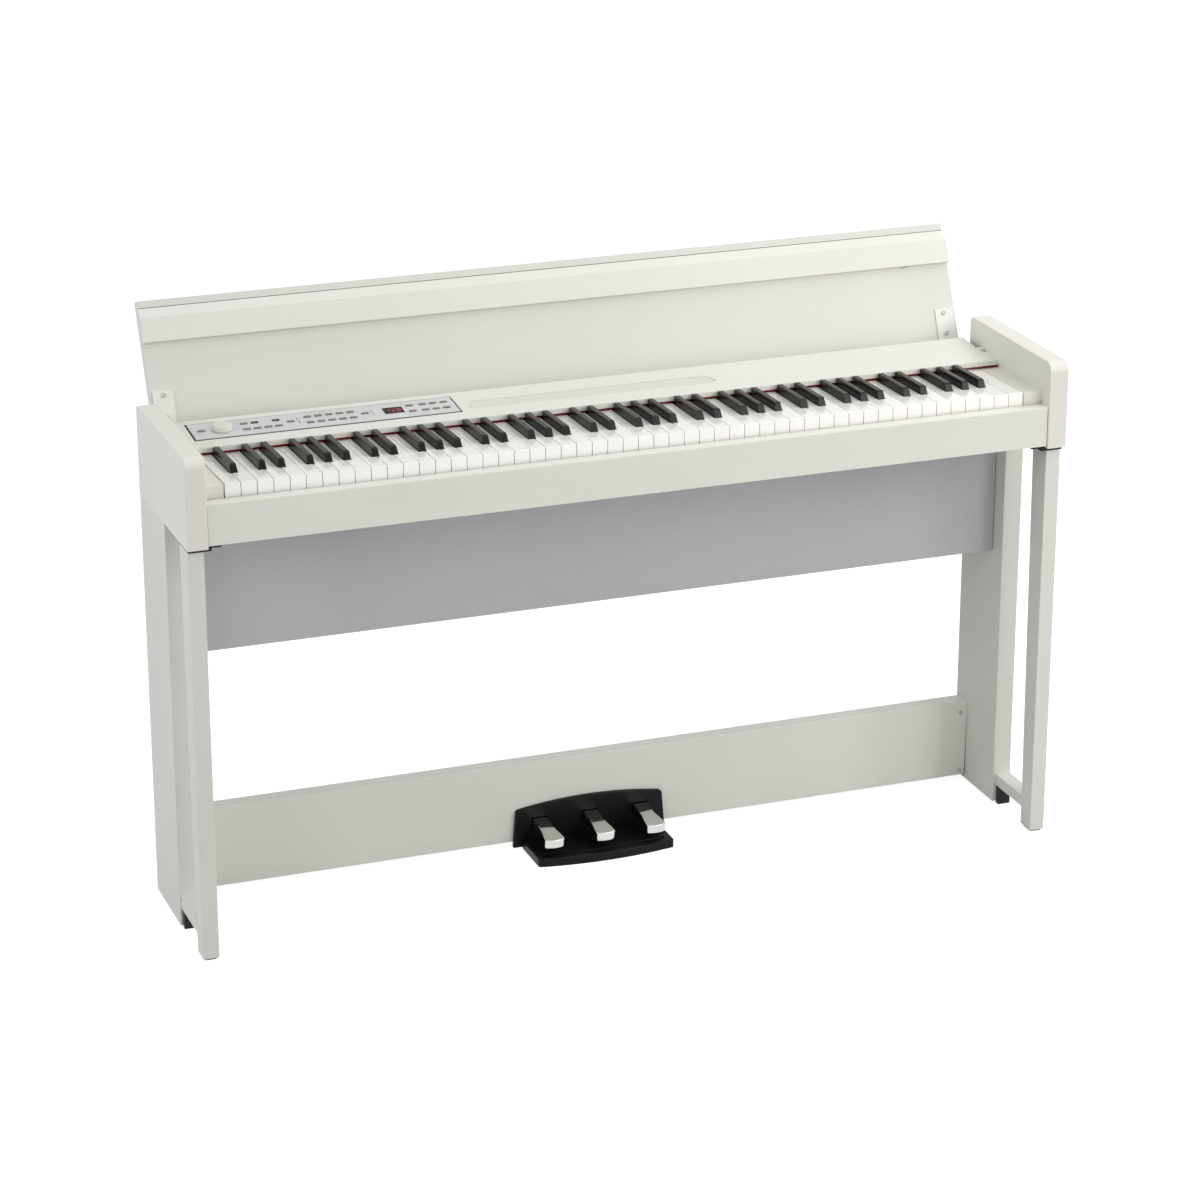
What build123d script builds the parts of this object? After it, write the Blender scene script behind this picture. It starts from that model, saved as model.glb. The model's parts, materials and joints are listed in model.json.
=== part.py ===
from build123d import *
import os
from math import cos, radians, sin, tan

# Lengths in mm, angles in degrees. While a piece is drawn, x runs along the keyboard from its middle,
# y runs back from the front of the side arms and z runs up from the floor. The last step moves the
# whole assembly so that its middle in depth lies on y = 0.

# Fits shared by all pieces
SEAT_GAP = 0.2
MOVING_GAP = 0.5
RUNNING_CLEARANCE = 0.05
SCREW_HOLE_CLEARANCE = 0.1
CUT_OVERRUN = 1.0

# Overall width: the keys, a cheek at each end of them and the side arms
WHITE_COUNT = 52
OCTAVES = 7
KEY_PITCH = 23.5
CHEEK_WIDTH = 31.5
ARM_THICKNESS = 30.5
KEYBOARD_WIDTH = WHITE_COUNT * KEY_PITCH
KEYS_LEFT = -KEYBOARD_WIDTH / 2
INNER_X = KEYBOARD_WIDTH / 2 + CHEEK_WIDTH
WIDTH = 2 * (INNER_X + ARM_THICKNESS)

# Side arms
ARM_BOTTOM = 628.0
ARM_HEIGHT = 132.0
ARM_REAR_MARGIN = 2.0
ARM_NOSE_RADIUS = 15.0
ARM_TAIL_RADIUS = 8.0
ARM_EDGE_RADIUS = 2.0
ARM_TOP = ARM_BOTTOM + ARM_HEIGHT

# Case boards
RAIL_FRONT_Y = 3.0
RAIL_THICKNESS = 16.0
RAIL_LIFT = 3.5
RAIL_HEIGHT = 61.5
RAIL_EDGE_RADIUS = 3.0
KEYBED_THICKNESS = 12.0
REAR_PANEL_THICKNESS = 10.0
REAR_PANEL_END_GAP = 14.5
END_BLOCK_KEY_GAP = 1.2
END_BLOCK_DROP = 0.4
END_BLOCK_PIVOT_GAP = 29.0
END_BLOCK_EDGE_RADIUS = 1.5
RAIL_BOTTOM_Z = ARM_BOTTOM + RAIL_LIFT
RAIL_TOP_Z = RAIL_BOTTOM_Z + RAIL_HEIGHT
RAIL_REAR_Y = RAIL_FRONT_Y + RAIL_THICKNESS
KEYBED_TOP_Z = RAIL_BOTTOM_Z + KEYBED_THICKNESS
REAR_PANEL_HALF = INNER_X - REAR_PANEL_END_GAP

# Keys
KEY_GAP = 1.0
KEY_FRONT_GAP = 6.0
KEY_ABOVE_RAIL = 19.0
KEY_TILT = 2.0
KEY_SHOWN_LENGTH = 146.0
KEY_PIVOT_DROP = 8.1
KEY_PIVOT_SETBACK = 12.0
KEY_BODY_HEIGHT = 14.0
KEY_LIP_HEIGHT = 22.8
KEY_LIP_THICKNESS = 3.0
KEY_TAIL_REACH = 6.0
KEY_EDGE_CHAMFER = 0.6
KEY_ROD_RADIUS = 2.0
BLACK_SLOT = 13.0
BLACK_SIDE_GAP = 1.0
BLACK_FRONT_SETBACK = 47.0
BLACK_REAR_GAP = 4.0
BLACK_RISE = 12.0
BLACK_FRONT_SLOPE = 5.2
BLACK_NOSE_LENGTH = 3.0
BLACK_NOSE_DROP = 2.2
BLACK_FRONT_STEP = 1.0
BLACK_SIDE_TAPER = 0.9
BLACK_TOP_CHAMFER = 1.1
BLACK_TAIL_DROP = 1.6
NOTCH_FRONT_GAP = 1.2
LUG_THICKNESS = 3.0
LUG_SIDE_GAP = 0.5
LUG_RELIEF_START = 12.0
OCTAVE_PITCH = 7 * KEY_PITCH
FIRST_C = KEYS_LEFT + 2 * KEY_PITCH
KEY_FRONT_Y = RAIL_REAR_Y + KEY_FRONT_GAP
KEY_FRONT_TOP_Z = RAIL_TOP_Z + KEY_ABOVE_RAIL
BLACK_WIDTH = BLACK_SLOT - 2 * BLACK_SIDE_GAP
BLACK_CAP_LENGTH = KEY_SHOWN_LENGTH - BLACK_FRONT_SETBACK - BLACK_REAR_GAP
LUG_RELIEF = LUG_THICKNESS / 2 + LUG_SIDE_GAP - KEY_GAP / 2

# Control layout, measured to the right of the plate's left end and up the slope from its front
BUTTON_WIDTH = 11.0
BUTTON_DEPTH = 4.6
BUTTON_RISE = 1.4
BUTTON_CORNER = 1.4
BUTTON_EDGE_CHAMFER = 0.4
BUTTON_FLANGE = 1.2
BUTTON_FLANGE_GAP = 0.4
BUTTON_FLANGE_THICKNESS = 2.0
BUTTON_STEM_WIDTH = 3.0
BUTTON_STEM_LENGTH = 2.4
ROW_FRONT_OFFSET = 18.5
ROW_PITCH = 21.0
ROW_SKEW = 1.0
POWER_X = 15.0
KNOB_X = 45.5
FUNCTION_X = 79.5
FUNCTION_PITCH = 15.8
BANK_X = 147.2
SOUND_X = 174.0
SOUND_PITCH = 16.1
MODE_X = 258.7
DISPLAY_X = 301.5
VALUE_X = 328.0
RECORDER_X = 347.8
RECORDER_PITCH = 16.0
PLATE_END_MARGIN = 15.2
KNOB_RADIUS = 15.0
KNOB_TOP_RADIUS = 14.0
KNOB_HEIGHT = 7.0
KNOB_EDGE_RADIUS = 2.0
KNOB_SHAFT_RADIUS = 3.0
KNOB_SHAFT_LENGTH = 7.8
POT_HALF = 7.0
POT_HEIGHT = 5.9
POT_BORE_SPARE = 0.4
DISPLAY_WIDTH = 29.5
DISPLAY_DEPTH = 22.0
DISPLAY_RISE = 0.3

# Top panel, drawn flat with y running up the slope from its front edge and z = 0 on its face
PANEL_SLOPE = 5.0
PANEL_THICKNESS = 8.5
PANEL_EDGE_RADIUS = 2.0
PANEL_REAR_BORDER = 17.0
FELT_THICKNESS = 2.0
FELT_DEPTH = 5.0
FELT_KEY_GAP = 1.7
FELT_END_GAP = 1.0
HINGE_SLOT_WIDTH = 13.0
HINGE_SLOT_LENGTH = 46.0
PANEL_SCREW_INSET = 8.0
PANEL_SCREW_Y = 38.5
PLATE_KEY_INSET = 6.0
PLATE_FRONT = 27.5
PLATE_DEPTH = 56.8
PLATE_THICKNESS = 0.8
BEZEL_BORDER = 2.6
BEZEL_THICKNESS = 2.0
WINDOW_BORDER = 7.0
BOARD_THICKNESS = 1.6
BOARD_LAP = 1.6
GROOVE_PLATE_GAP = 7.4
GROOVE_LENGTH = 400.0
GROOVE_END_TAPER = 16.0
GROOVE_FRONT = 32.0
GROOVE_WIDTH = 30.0
GROOVE_DEPTH = 1.2
GROOVE_CORNER = 8.0
SLOPE = radians(PANEL_SLOPE)
PLATE_WIDTH = RECORDER_X + 2 * RECORDER_PITCH + PLATE_END_MARGIN
PLATE_LEFT = KEYS_LEFT + PLATE_KEY_INSET
PLATE_RIGHT = PLATE_LEFT + PLATE_WIDTH
PLATE_REAR = PLATE_FRONT + PLATE_DEPTH
ROW_FRONT = PLATE_FRONT + ROW_FRONT_OFFSET
ROW_REAR = ROW_FRONT + ROW_PITCH
ROW_MIDDLE = ROW_FRONT + ROW_PITCH / 2
PANEL_LENGTH = PLATE_REAR + PANEL_REAR_BORDER
PANEL_FRONT_Y = KEY_FRONT_Y + KEY_SHOWN_LENGTH
PANEL_REAR_Y = PANEL_FRONT_Y + PANEL_LENGTH * cos(SLOPE)
KEY_TOP_AT_PANEL = KEY_FRONT_TOP_Z - KEY_SHOWN_LENGTH * tan(radians(KEY_TILT))
PANEL_FRONT_Z = KEY_TOP_AT_PANEL + FELT_KEY_GAP + FELT_THICKNESS + PANEL_THICKNESS
PANEL_REAR_Z = PANEL_FRONT_Z + PANEL_LENGTH * sin(SLOPE)
REAR_PANEL_Y = PANEL_REAR_Y - REAR_PANEL_THICKNESS
ARM_DEPTH = PANEL_REAR_Y + ARM_REAR_MARGIN
KEY_PIVOT_Y = REAR_PANEL_Y - KEY_PIVOT_SETBACK
KEY_LENGTH = KEY_PIVOT_Y - KEY_FRONT_Y
KEY_PIVOT_Z = KEY_FRONT_TOP_Z - KEY_LENGTH * sin(radians(KEY_TILT)) - KEY_PIVOT_DROP
END_BLOCK_REAR_Y = KEY_PIVOT_Y - END_BLOCK_PIVOT_GAP


def row(start, pitch, count, y):
    """Places of a row of buttons on the control plate."""
    return [(PLATE_LEFT + start + pitch * i, y) for i in range(count)]


BUTTON_GROUPS = {
    "power_button": row(POWER_X, 0, 1, ROW_MIDDLE),
    "effect_buttons": row(FUNCTION_X + ROW_SKEW, FUNCTION_PITCH, 4, ROW_REAR)[:2]
    + row(FUNCTION_X + ROW_SKEW, FUNCTION_PITCH, 4, ROW_REAR)[3:],
    "function_buttons": row(FUNCTION_X, FUNCTION_PITCH, 4, ROW_FRONT),
    "select_buttons": row(BANK_X, 0, 1, ROW_MIDDLE) + row(MODE_X, 0, 1, ROW_MIDDLE),
    "sound_buttons_upper": row(SOUND_X + ROW_SKEW, SOUND_PITCH, 5, ROW_REAR),
    "sound_buttons_lower": row(SOUND_X, SOUND_PITCH, 5, ROW_FRONT),
    "value_buttons": row(VALUE_X + ROW_SKEW, 0, 1, ROW_REAR) + row(VALUE_X, 0, 1, ROW_FRONT),
    "recorder_buttons": row(RECORDER_X + ROW_SKEW, RECORDER_PITCH, 3, ROW_REAR)
    + row(RECORDER_X, RECORDER_PITCH, 3, ROW_FRONT),
}

# Lid, drawn flat with y running up the open lid from the foot of its hinge and z out of its inner face
LID_LEAN = 24.4
LID_SIDE_GAP = 3.0
LID_REACH = 226.6
LID_TAIL = 26.0
LID_THICKNESS = 16.0
LID_EDGE_RADIUS = 3.0
LIP_SETBACK = 63.0
LIP_BAND = 36.0
LIP_SLOPE_LENGTH = 16.0
LIP_RISE = 8.0
LIP_EDGE_RADIUS = 1.5
RABBET_WIDTH = 8.0
RABBET_DEPTH = 3.2
HINGE_SETBACK = 25.8
HINGE_DROP = 34.1
HINGE_DISTANCE = 47.0
BRACKET_END_GAP = 3.5
BRACKET_WIDTH = 30.0
BRACKET_REACH = 93.5
BRACKET_TAIL = 20.4
BRACKET_THICKNESS = 2.5
WEB_THICKNESS = 4.0
WEB_HALF_WIDTH = 17.0
WEB_TIP_HALF = 8.0
BOSS_RADIUS = 9.0
BOSS_ARM_GAP = 1.5
PIN_RADIUS = 4.0
PIN_OVERHANG = 1.5
PIN_DEPTH_IN_ARM = 16.0
LID_SCREW_INSET = 16.0
LID_SCREW_PLACES = (86.6, 54.6)
LEAN = radians(LID_LEAN)
LID_HALF = INNER_X - LID_SIDE_GAP
LIP_BOTTOM = LID_REACH - LIP_SETBACK
LIP_CREASE = LIP_BOTTOM + LIP_BAND
LIP_TOP = LIP_CREASE + LIP_SLOPE_LENGTH
RABBET_START = LIP_TOP - RABBET_WIDTH
HINGE_Y = PANEL_REAR_Y - HINGE_SETBACK
HINGE_Z = PANEL_REAR_Z - HINGE_DROP
BRACKET_OUTER_X = LID_HALF - BRACKET_END_GAP
BRACKET_INNER_X = BRACKET_OUTER_X - BRACKET_WIDTH
WEB_INNER_X = BRACKET_OUTER_X - WEB_THICKNESS
BOSS_OUTER_X = INNER_X - BOSS_ARM_GAP
PIN_INNER_X = WEB_INNER_X - PIN_OVERHANG
LID_SCREW_X = BRACKET_OUTER_X - LID_SCREW_INSET
LID_PLANE = Plane(
    origin=(0, HINGE_Y + HINGE_DISTANCE * cos(LEAN), HINGE_Z - HINGE_DISTANCE * sin(LEAN)),
    x_dir=(1, 0, 0),
    z_dir=(0, -cos(LEAN), sin(LEAN)),
)
DEPTH = HINGE_Y + (HINGE_DISTANCE + LID_THICKNESS) * cos(LEAN) + LID_REACH * sin(LEAN)

# Screws
SCREW_HEAD_RADIUS = 3.5
SCREW_HEAD_HEIGHT = 2.2
SCREW_HEAD_CHAMFER = 0.7
SCREW_SHANK_RADIUS = 1.75
SCREW_SHANK_LENGTH = 11.0
SCREW_RECESS_RADIUS = 1.6
SCREW_RECESS_DEPTH = 1.2

# Stand
SIDE_BOARD_REVEAL = 1.0
SIDE_BOARD_FRONT_Y = 135.5
SIDE_BOARD_DEPTH = 140.0
SIDE_BOARD_EDGE_RADIUS = 1.5
POST_INSET = 2.8
POST_THICKNESS = 23.6
POST_FRONT_Y = 11.5
POST_DEPTH_TOP = 43.5
POST_DEPTH_BOTTOM = 32.5
POST_EDGE_RADIUS = 1.5
LOWER_RAIL_BOTTOM_Z = 31.0
LOWER_RAIL_HEIGHT = 18.0
GLIDE_HEIGHT = 3.0
GLIDE_LENGTH = 26.0
GLIDE_WIDTH = 19.0
GLIDE_CORNER = 4.0
FOOT_WIDTH = 20.0
FOOT_LENGTH = 9.0
PAD_THICKNESS = 5.5
PAD_FRONT_Y = 8.0
PAD_INNER_REACH = 20.5
PAD_STEP = 6.0
PAD_RISER_DEPTH = 38.0
KNEE_FRONT_Y = 167.0
KNEE_THICKNESS = 15.0
KNEE_HEIGHT = 215.0
KNEE_SIDE_GAP = 1.2
BEAM_REAR_INSET = 12.0
BEAM_THICKNESS = 27.5
BEAM_BOTTOM_Z = 9.5
BEAM_HEIGHT = 127.0
BEAM_END_TAPER = 2.2
BEAM_EDGE_RADIUS = 1.5
BEAM_SCREW_INSET = 11.7
BEAM_SCREW_LOW = 8.7
BEAM_SCREW_HIGH = 107.8
ANGLE_LEG = 20.0
ANGLE_DEPTH = 11.5
ANGLE_SHEET = 2.0
ANGLE_HEIGHT = 50.0
KNEE_ANGLE_LOW = 31.0
KNEE_ANGLE_HIGH = 141.0
BEAM_ANGLE_LOW = 45.0
SIDE_BOARD_OUTER_X = WIDTH / 2 - SIDE_BOARD_REVEAL
SIDE_BOARD_REAR_Y = SIDE_BOARD_FRONT_Y + SIDE_BOARD_DEPTH
POST_OUTER_X = WIDTH / 2 - POST_INSET
POST_INNER_X = POST_OUTER_X - POST_THICKNESS
POST_MIDDLE_X = POST_OUTER_X - POST_THICKNESS / 2
POST_TOP_Z = ARM_BOTTOM - PAD_THICKNESS
LOWER_RAIL_TOP_Z = LOWER_RAIL_BOTTOM_Z + LOWER_RAIL_HEIGHT
PAD_INNER_X = INNER_X - PAD_INNER_REACH
KNEE_BOTTOM_Z = ARM_BOTTOM - KNEE_HEIGHT
BEAM_TOP_Z = BEAM_BOTTOM_Z + BEAM_HEIGHT
BEAM_REAR_Y = SIDE_BOARD_REAR_Y - BEAM_REAR_INSET
BEAM_FRONT_Y = BEAM_REAR_Y - BEAM_THICKNESS

# Pedals
PEDAL_SPACING = 82.0
PEDAL_ROD_RADIUS = 3.0
PEDAL_ROD_SETBACK = 14.0
PEDAL_ROD_Z = 43.0
PEDAL_SLOPE = 5.2
PEDAL_LENGTH = 97.0
PEDAL_HALF_REAR = 11.6
PEDAL_HALF_FRONT = 15.4
PEDAL_FLARE_START = 52.0
PEDAL_NOSE = 3.4
PEDAL_NOSE_RADIUS = 4.0
PEDAL_THICKNESS = 13.0
PEDAL_TOP_ABOVE_ROD = 6.0
PEDAL_TAIL = 6.0
PEDAL_EDGE_RADIUS = 1.2
PEDAL_SLOT_GAP = 1.4
PEDAL_SLOT_ABOVE_ROD = 5.4
PEDAL_SLOT_BELOW_ROD = 12.2
POCKET_END_MARGIN = 30.0
POCKET_BELOW_ROD = 23.0
POCKET_ABOVE_ROD = 15.0
POCKET_DEPTH = 24.0
CHASSIS_LUG = 3.0
CHASSIS_LUG_HALF_DEPTH = 6.0
CHASSIS_LUG_ABOVE_ROD = 6.0
CHASSIS_FLOOR = 2.5
CHASSIS_END_LUG = 22.0
PEDAL_PLATE_THICKNESS = 7.0
PEDAL_PLATE_MARGIN = 37.0
PEDAL_PLATE_FLARE = 5.0
PEDAL_PLATE_FOOT_Z = 2.0
PEDAL_PLATE_SIDE_HEIGHT = 60.0
PEDAL_PLATE_CROWN = 10.3
PEDAL_PLATE_CORNER = 5.0
PEDAL_PLATE_EDGE_RADIUS = 1.2
BASE_MARGIN = 28.0
BASE_LENGTH = 88.0
BASE_BOW = 11.0
BASE_HEIGHT = 13.5
BASE_CORNER = 5.0
BASE_EDGE_RADIUS = 2.5
RIDGE_END_GAP = 12.0
RIDGE_SETBACK = 13.0
RIDGE_WIDTH = 6.0
RIDGE_HEIGHT = 2.2
RIDGE_EDGE_RADIUS = 0.7
PEDAL_PLACES = (-PEDAL_SPACING, 0, PEDAL_SPACING)
PEDAL_ROD_Y = BEAM_FRONT_Y + PEDAL_ROD_SETBACK
POCKET_HALF = PEDAL_SPACING + POCKET_END_MARGIN
POCKET_BOTTOM_Z = PEDAL_ROD_Z - POCKET_BELOW_ROD
POCKET_TOP_Z = PEDAL_ROD_Z + POCKET_ABOVE_ROD
POCKET_REAR_Y = BEAM_FRONT_Y + POCKET_DEPTH
CHASSIS_END = PEDAL_SPACING + CHASSIS_END_LUG
CHASSIS_LUG_PLACES = (-CHASSIS_END, -PEDAL_SPACING / 2, PEDAL_SPACING / 2, CHASSIS_END)
PEDAL_PLATE_HALF_TOP = PEDAL_SPACING + PEDAL_PLATE_MARGIN
PEDAL_PLATE_HALF_FOOT = PEDAL_PLATE_HALF_TOP + PEDAL_PLATE_FLARE
PEDAL_PLATE_SIDE_Z = PEDAL_PLATE_FOOT_Z + PEDAL_PLATE_SIDE_HEIGHT
PEDAL_PLATE_CROWN_Z = PEDAL_PLATE_SIDE_Z + PEDAL_PLATE_CROWN
PEDAL_PLATE_FRONT_Y = BEAM_FRONT_Y - PEDAL_PLATE_THICKNESS
BASE_HALF = PEDAL_SPACING + BASE_MARGIN
BASE_FRONT_Y = PEDAL_PLATE_FRONT_Y - BASE_LENGTH

# Pieces inside the case
PIVOT_RAIL_FRONT = 12.0
PIVOT_RAIL_REAR = 11.0
PIVOT_RAIL_DROP = 12.0
PIVOT_LUG_RISE = 4.5
PIVOT_LUG_HALF_DEPTH = 5.0
END_LUG_OFFSET = 2.5
STOP_RAIL_SETBACK = 20.0
STOP_RAIL_DEPTH = 14.0
STOP_RAIL_DROP = 10.0
CONTACT_SETBACK = 140.0
CONTACT_DEPTH = 34.0
CONTACT_DROP = 16.0
CONTACT_RIB = 4.0
CONTACT_DOME_HEIGHT = 6.0
CONTACT_DOME_WIDTH = 12.0
SPEAKER_X = 420.0
SPEAKER_SETBACK = 87.0
SPEAKER_LENGTH = 120.0
SPEAKER_WIDTH = 74.0
SPEAKER_FLANGE = 3.0
SPEAKER_FLANGE_BORDER = 8.0
SPEAKER_BASKET_HEIGHT = 14.0
SPEAKER_BASKET_TAPER = 20.0
SPEAKER_MAGNET_RADIUS = 24.0
SPEAKER_MAGNET_HEIGHT = 10.0
SOCKET_X = -500.0
SOCKET_MARGIN = 17.0
SOCKET_PITCH = 32.0
SOCKET_COUNT = 4
SOCKET_LIFT = 16.5
SOCKET_HEIGHT = 32.0
SOCKET_DEPTH = 8.0
SOCKET_HOLE_RADIUS = 4.5
SOCKET_HOLE_DEPTH = 6.0
SOCKET_BOTTOM_Z = KEYBED_TOP_Z + SOCKET_LIFT
SOCKET_TOP_Z = SOCKET_BOTTOM_Z + SOCKET_HEIGHT
SOCKET_WIDTH = SOCKET_PITCH * (SOCKET_COUNT - 1) + 2 * SOCKET_MARGIN
SPEAKER_Y = KEY_FRONT_Y + SPEAKER_SETBACK


def block(x0, x1, y0, y1, z0, z1):
    """A box between two corners."""
    return Pos((x0 + x1) / 2, (y0 + y1) / 2, (z0 + z1) / 2) * Box(x1 - x0, y1 - y0, z1 - z0)


def side_prism(points, x0, x1):
    """An outline in y and z, run along x."""
    return Pos(x0, 0, 0) * extrude(Plane.YZ * Polygon(*points, align=None), x1 - x0, dir=(1, 0, 0))


def top_prism(points, z0, z1):
    """An outline in x and y, run up z."""
    return Pos(0, 0, z0) * extrude(Polygon(*points, align=None), z1 - z0, dir=(0, 0, 1))


def front_prism(points, y0, y1):
    """An outline in x and z, run along y."""
    plane = Plane(origin=(0, y1, 0), x_dir=(1, 0, 0), z_dir=(0, -1, 0))
    return extrude(plane * Polygon(*points, align=None), y1 - y0, dir=(0, -1, 0))


def rod_x(radius, x0, x1, y, z):
    """A cylinder along x."""
    return Pos((x0 + x1) / 2, y, z) * Rot(0, 90, 0) * Cylinder(radius, x1 - x0)


def post_z(radius, z0, z1):
    """A cylinder up z."""
    return Pos(0, 0, (z0 + z1) / 2) * Cylinder(radius, z1 - z0)


def group(solids):
    """Several separate solids of one node."""
    return Compound(children=list(solids))


def both_sides(part):
    """A piece and its mirror image across the middle of the keyboard."""
    return [part, mirror(part, about=Plane.YZ)]


def screw():
    """A pan-head screw whose head sits on z = 0 and whose shank runs down."""
    head = post_z(SCREW_HEAD_RADIUS, 0, SCREW_HEAD_HEIGHT)
    head = chamfer(head.edges().group_by(Axis.Z)[-1], SCREW_HEAD_CHAMFER)
    shank = post_z(SCREW_SHANK_RADIUS, -SCREW_SHANK_LENGTH, 0)
    recess = post_z(SCREW_RECESS_RADIUS, SCREW_HEAD_HEIGHT - SCREW_RECESS_DEPTH, SCREW_HEAD_HEIGHT)
    return head + shank - recess


def screw_hole():
    """The hole that takes the shank of a screw."""
    return post_z(SCREW_SHANK_RADIUS + SCREW_HOLE_CLEARANCE, -SCREW_SHANK_LENGTH - SEAT_GAP, 0)


# Case
def arm():
    """Right-hand arm: a thick board with a rounded nose, bored for the hinge pin of the lid."""
    board = block(INNER_X, WIDTH / 2, 0, ARM_DEPTH, ARM_BOTTOM, ARM_TOP)
    top_edges = board.edges().filter_by(Axis.X).group_by(Axis.Z)[-1].sort_by(Axis.Y)
    board = fillet(top_edges[0], ARM_NOSE_RADIUS)
    top_edges = board.edges().filter_by(Axis.X).group_by(Axis.Z)[-1].sort_by(Axis.Y)
    board = fillet(top_edges[-1], ARM_TAIL_RADIUS)
    for side in (-1, 0):
        face = board.faces().sort_by(Axis.X)[side]
        edges = [e for e in face.edges() if e.center().Z > ARM_BOTTOM + ARM_EDGE_RADIUS]
        board = fillet(edges, ARM_EDGE_RADIUS)
    return board - rod_x(PIN_RADIUS, INNER_X - CUT_OVERRUN, INNER_X + PIN_DEPTH_IN_ARM, HINGE_Y, HINGE_Z)


def front_rail():
    rail = block(-INNER_X, INNER_X, RAIL_FRONT_Y, RAIL_REAR_Y, RAIL_BOTTOM_Z, RAIL_TOP_Z)
    top_edges = rail.edges().filter_by(Axis.X).group_by(Axis.Z)[-1].sort_by(Axis.Y)
    return fillet(top_edges[0], RAIL_EDGE_RADIUS)


def speaker_opening():
    border = 2 * SPEAKER_FLANGE_BORDER
    return SlotOverall(SPEAKER_LENGTH - border, SPEAKER_WIDTH - border)


def keybed():
    """Bottom board of the case with the two speaker openings."""
    board = block(-INNER_X, INNER_X, RAIL_REAR_Y, PANEL_REAR_Y, RAIL_BOTTOM_Z, KEYBED_TOP_Z)
    hole = extrude(speaker_opening(), KEYBED_THICKNESS + 2 * CUT_OVERRUN)
    for x in (-SPEAKER_X, SPEAKER_X):
        board -= Pos(x, SPEAKER_Y, RAIL_BOTTOM_Z - CUT_OVERRUN) * hole
    return board


def panel_underside(y):
    """Height of the underside of the top panel at a place in depth."""
    return PANEL_FRONT_Z + (y - PANEL_FRONT_Y) * tan(SLOPE) - PANEL_THICKNESS / cos(SLOPE)


def rear_panel():
    """Back of the case, reaching up to the underside of the top panel."""
    y0 = REAR_PANEL_Y
    y1 = PANEL_REAR_Y
    outline = [(y0, KEYBED_TOP_Z), (y1, KEYBED_TOP_Z), (y1, panel_underside(y1)), (y0, panel_underside(y0))]
    board = side_prism(outline, -REAR_PANEL_HALF, REAR_PANEL_HALF)
    x0 = SOCKET_X - SOCKET_WIDTH / 2 - SEAT_GAP
    x1 = SOCKET_X + SOCKET_WIDTH / 2 + SEAT_GAP
    z0 = SOCKET_BOTTOM_Z - SEAT_GAP
    z1 = SOCKET_TOP_Z + SEAT_GAP
    return board - block(x0, x1, y0 - CUT_OVERRUN, y1 + CUT_OVERRUN, z0, z1)


def cheek_top(y):
    """Height of the key end blocks, just under the white key tops at a place in depth."""
    return KEY_FRONT_TOP_Z - (y - KEY_FRONT_Y) * tan(radians(KEY_TILT)) - END_BLOCK_DROP


def end_block():
    """Cheek between the last key and the right arm."""
    y0 = KEY_FRONT_Y
    y1 = END_BLOCK_REAR_Y
    outline = [(y0, KEYBED_TOP_Z), (y1, KEYBED_TOP_Z), (y1, cheek_top(y1)), (y0, cheek_top(y0))]
    cheek = side_prism(outline, KEYBOARD_WIDTH / 2 + END_BLOCK_KEY_GAP, INNER_X)
    front_top = cheek.edges().filter_by(Axis.X).group_by(Axis.Z)[-1]
    return fillet(front_top, END_BLOCK_EDGE_RADIUS)


# Top panel and its controls
def on_panel(part):
    """Move a piece drawn flat onto the slope of the top panel."""
    return Location((0, PANEL_FRONT_Y, PANEL_FRONT_Z), (PANEL_SLOPE, 0, 0)) * part


def plate_block(border, z0, z1):
    """A sheet over the control plate, wider than it by a border all round."""
    x0 = PLATE_LEFT - border
    x1 = PLATE_RIGHT + border
    return block(x0, x1, PLATE_FRONT - border, PLATE_REAR + border, z0, z1)


def panel_screw_places():
    return [(x, PANEL_SCREW_Y) for x in (PANEL_SCREW_INSET - INNER_X, INNER_X - PANEL_SCREW_INSET)]


def book_groove():
    """Shallow groove with tapered ends that holds the foot of a music book."""
    x0 = PLATE_RIGHT + BEZEL_BORDER + GROOVE_PLATE_GAP
    x1 = x0 + GROOVE_LENGTH
    y1 = GROOVE_FRONT + GROOVE_WIDTH
    front = [(x0, GROOVE_FRONT), (x1, GROOVE_FRONT)]
    outline = front + [(x1 - GROOVE_END_TAPER, y1), (x0 + GROOVE_END_TAPER, y1)]
    groove = top_prism(outline, -GROOVE_DEPTH, CUT_OVERRUN)
    return fillet(groove.edges().filter_by(Axis.Z), GROOVE_CORNER)


def top_panel():
    """Sloped board behind the keys, with the book groove, the control window and the hinge slots."""
    board = block(-INNER_X, INNER_X, 0, PANEL_LENGTH, -PANEL_THICKNESS, 0)
    board = fillet(board.edges().filter_by(Axis.X).group_by(Axis.Z)[-1], PANEL_EDGE_RADIUS)
    y0 = PANEL_LENGTH - HINGE_SLOT_LENGTH
    y1 = PANEL_LENGTH + CUT_OVERRUN
    x0 = INNER_X - HINGE_SLOT_WIDTH
    slot = block(x0, INNER_X + CUT_OVERRUN, y0, y1, -PANEL_THICKNESS - CUT_OVERRUN, CUT_OVERRUN)
    for side in both_sides(slot):
        board -= side
    board -= book_groove()
    board -= plate_block(BEZEL_BORDER + SEAT_GAP, -BEZEL_THICKNESS, CUT_OVERRUN)
    board -= plate_block(-WINDOW_BORDER, -PANEL_THICKNESS - CUT_OVERRUN, CUT_OVERRUN)
    for x, y in panel_screw_places():
        board -= Pos(x, y, 0) * screw_hole()
    return on_panel(board)


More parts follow.
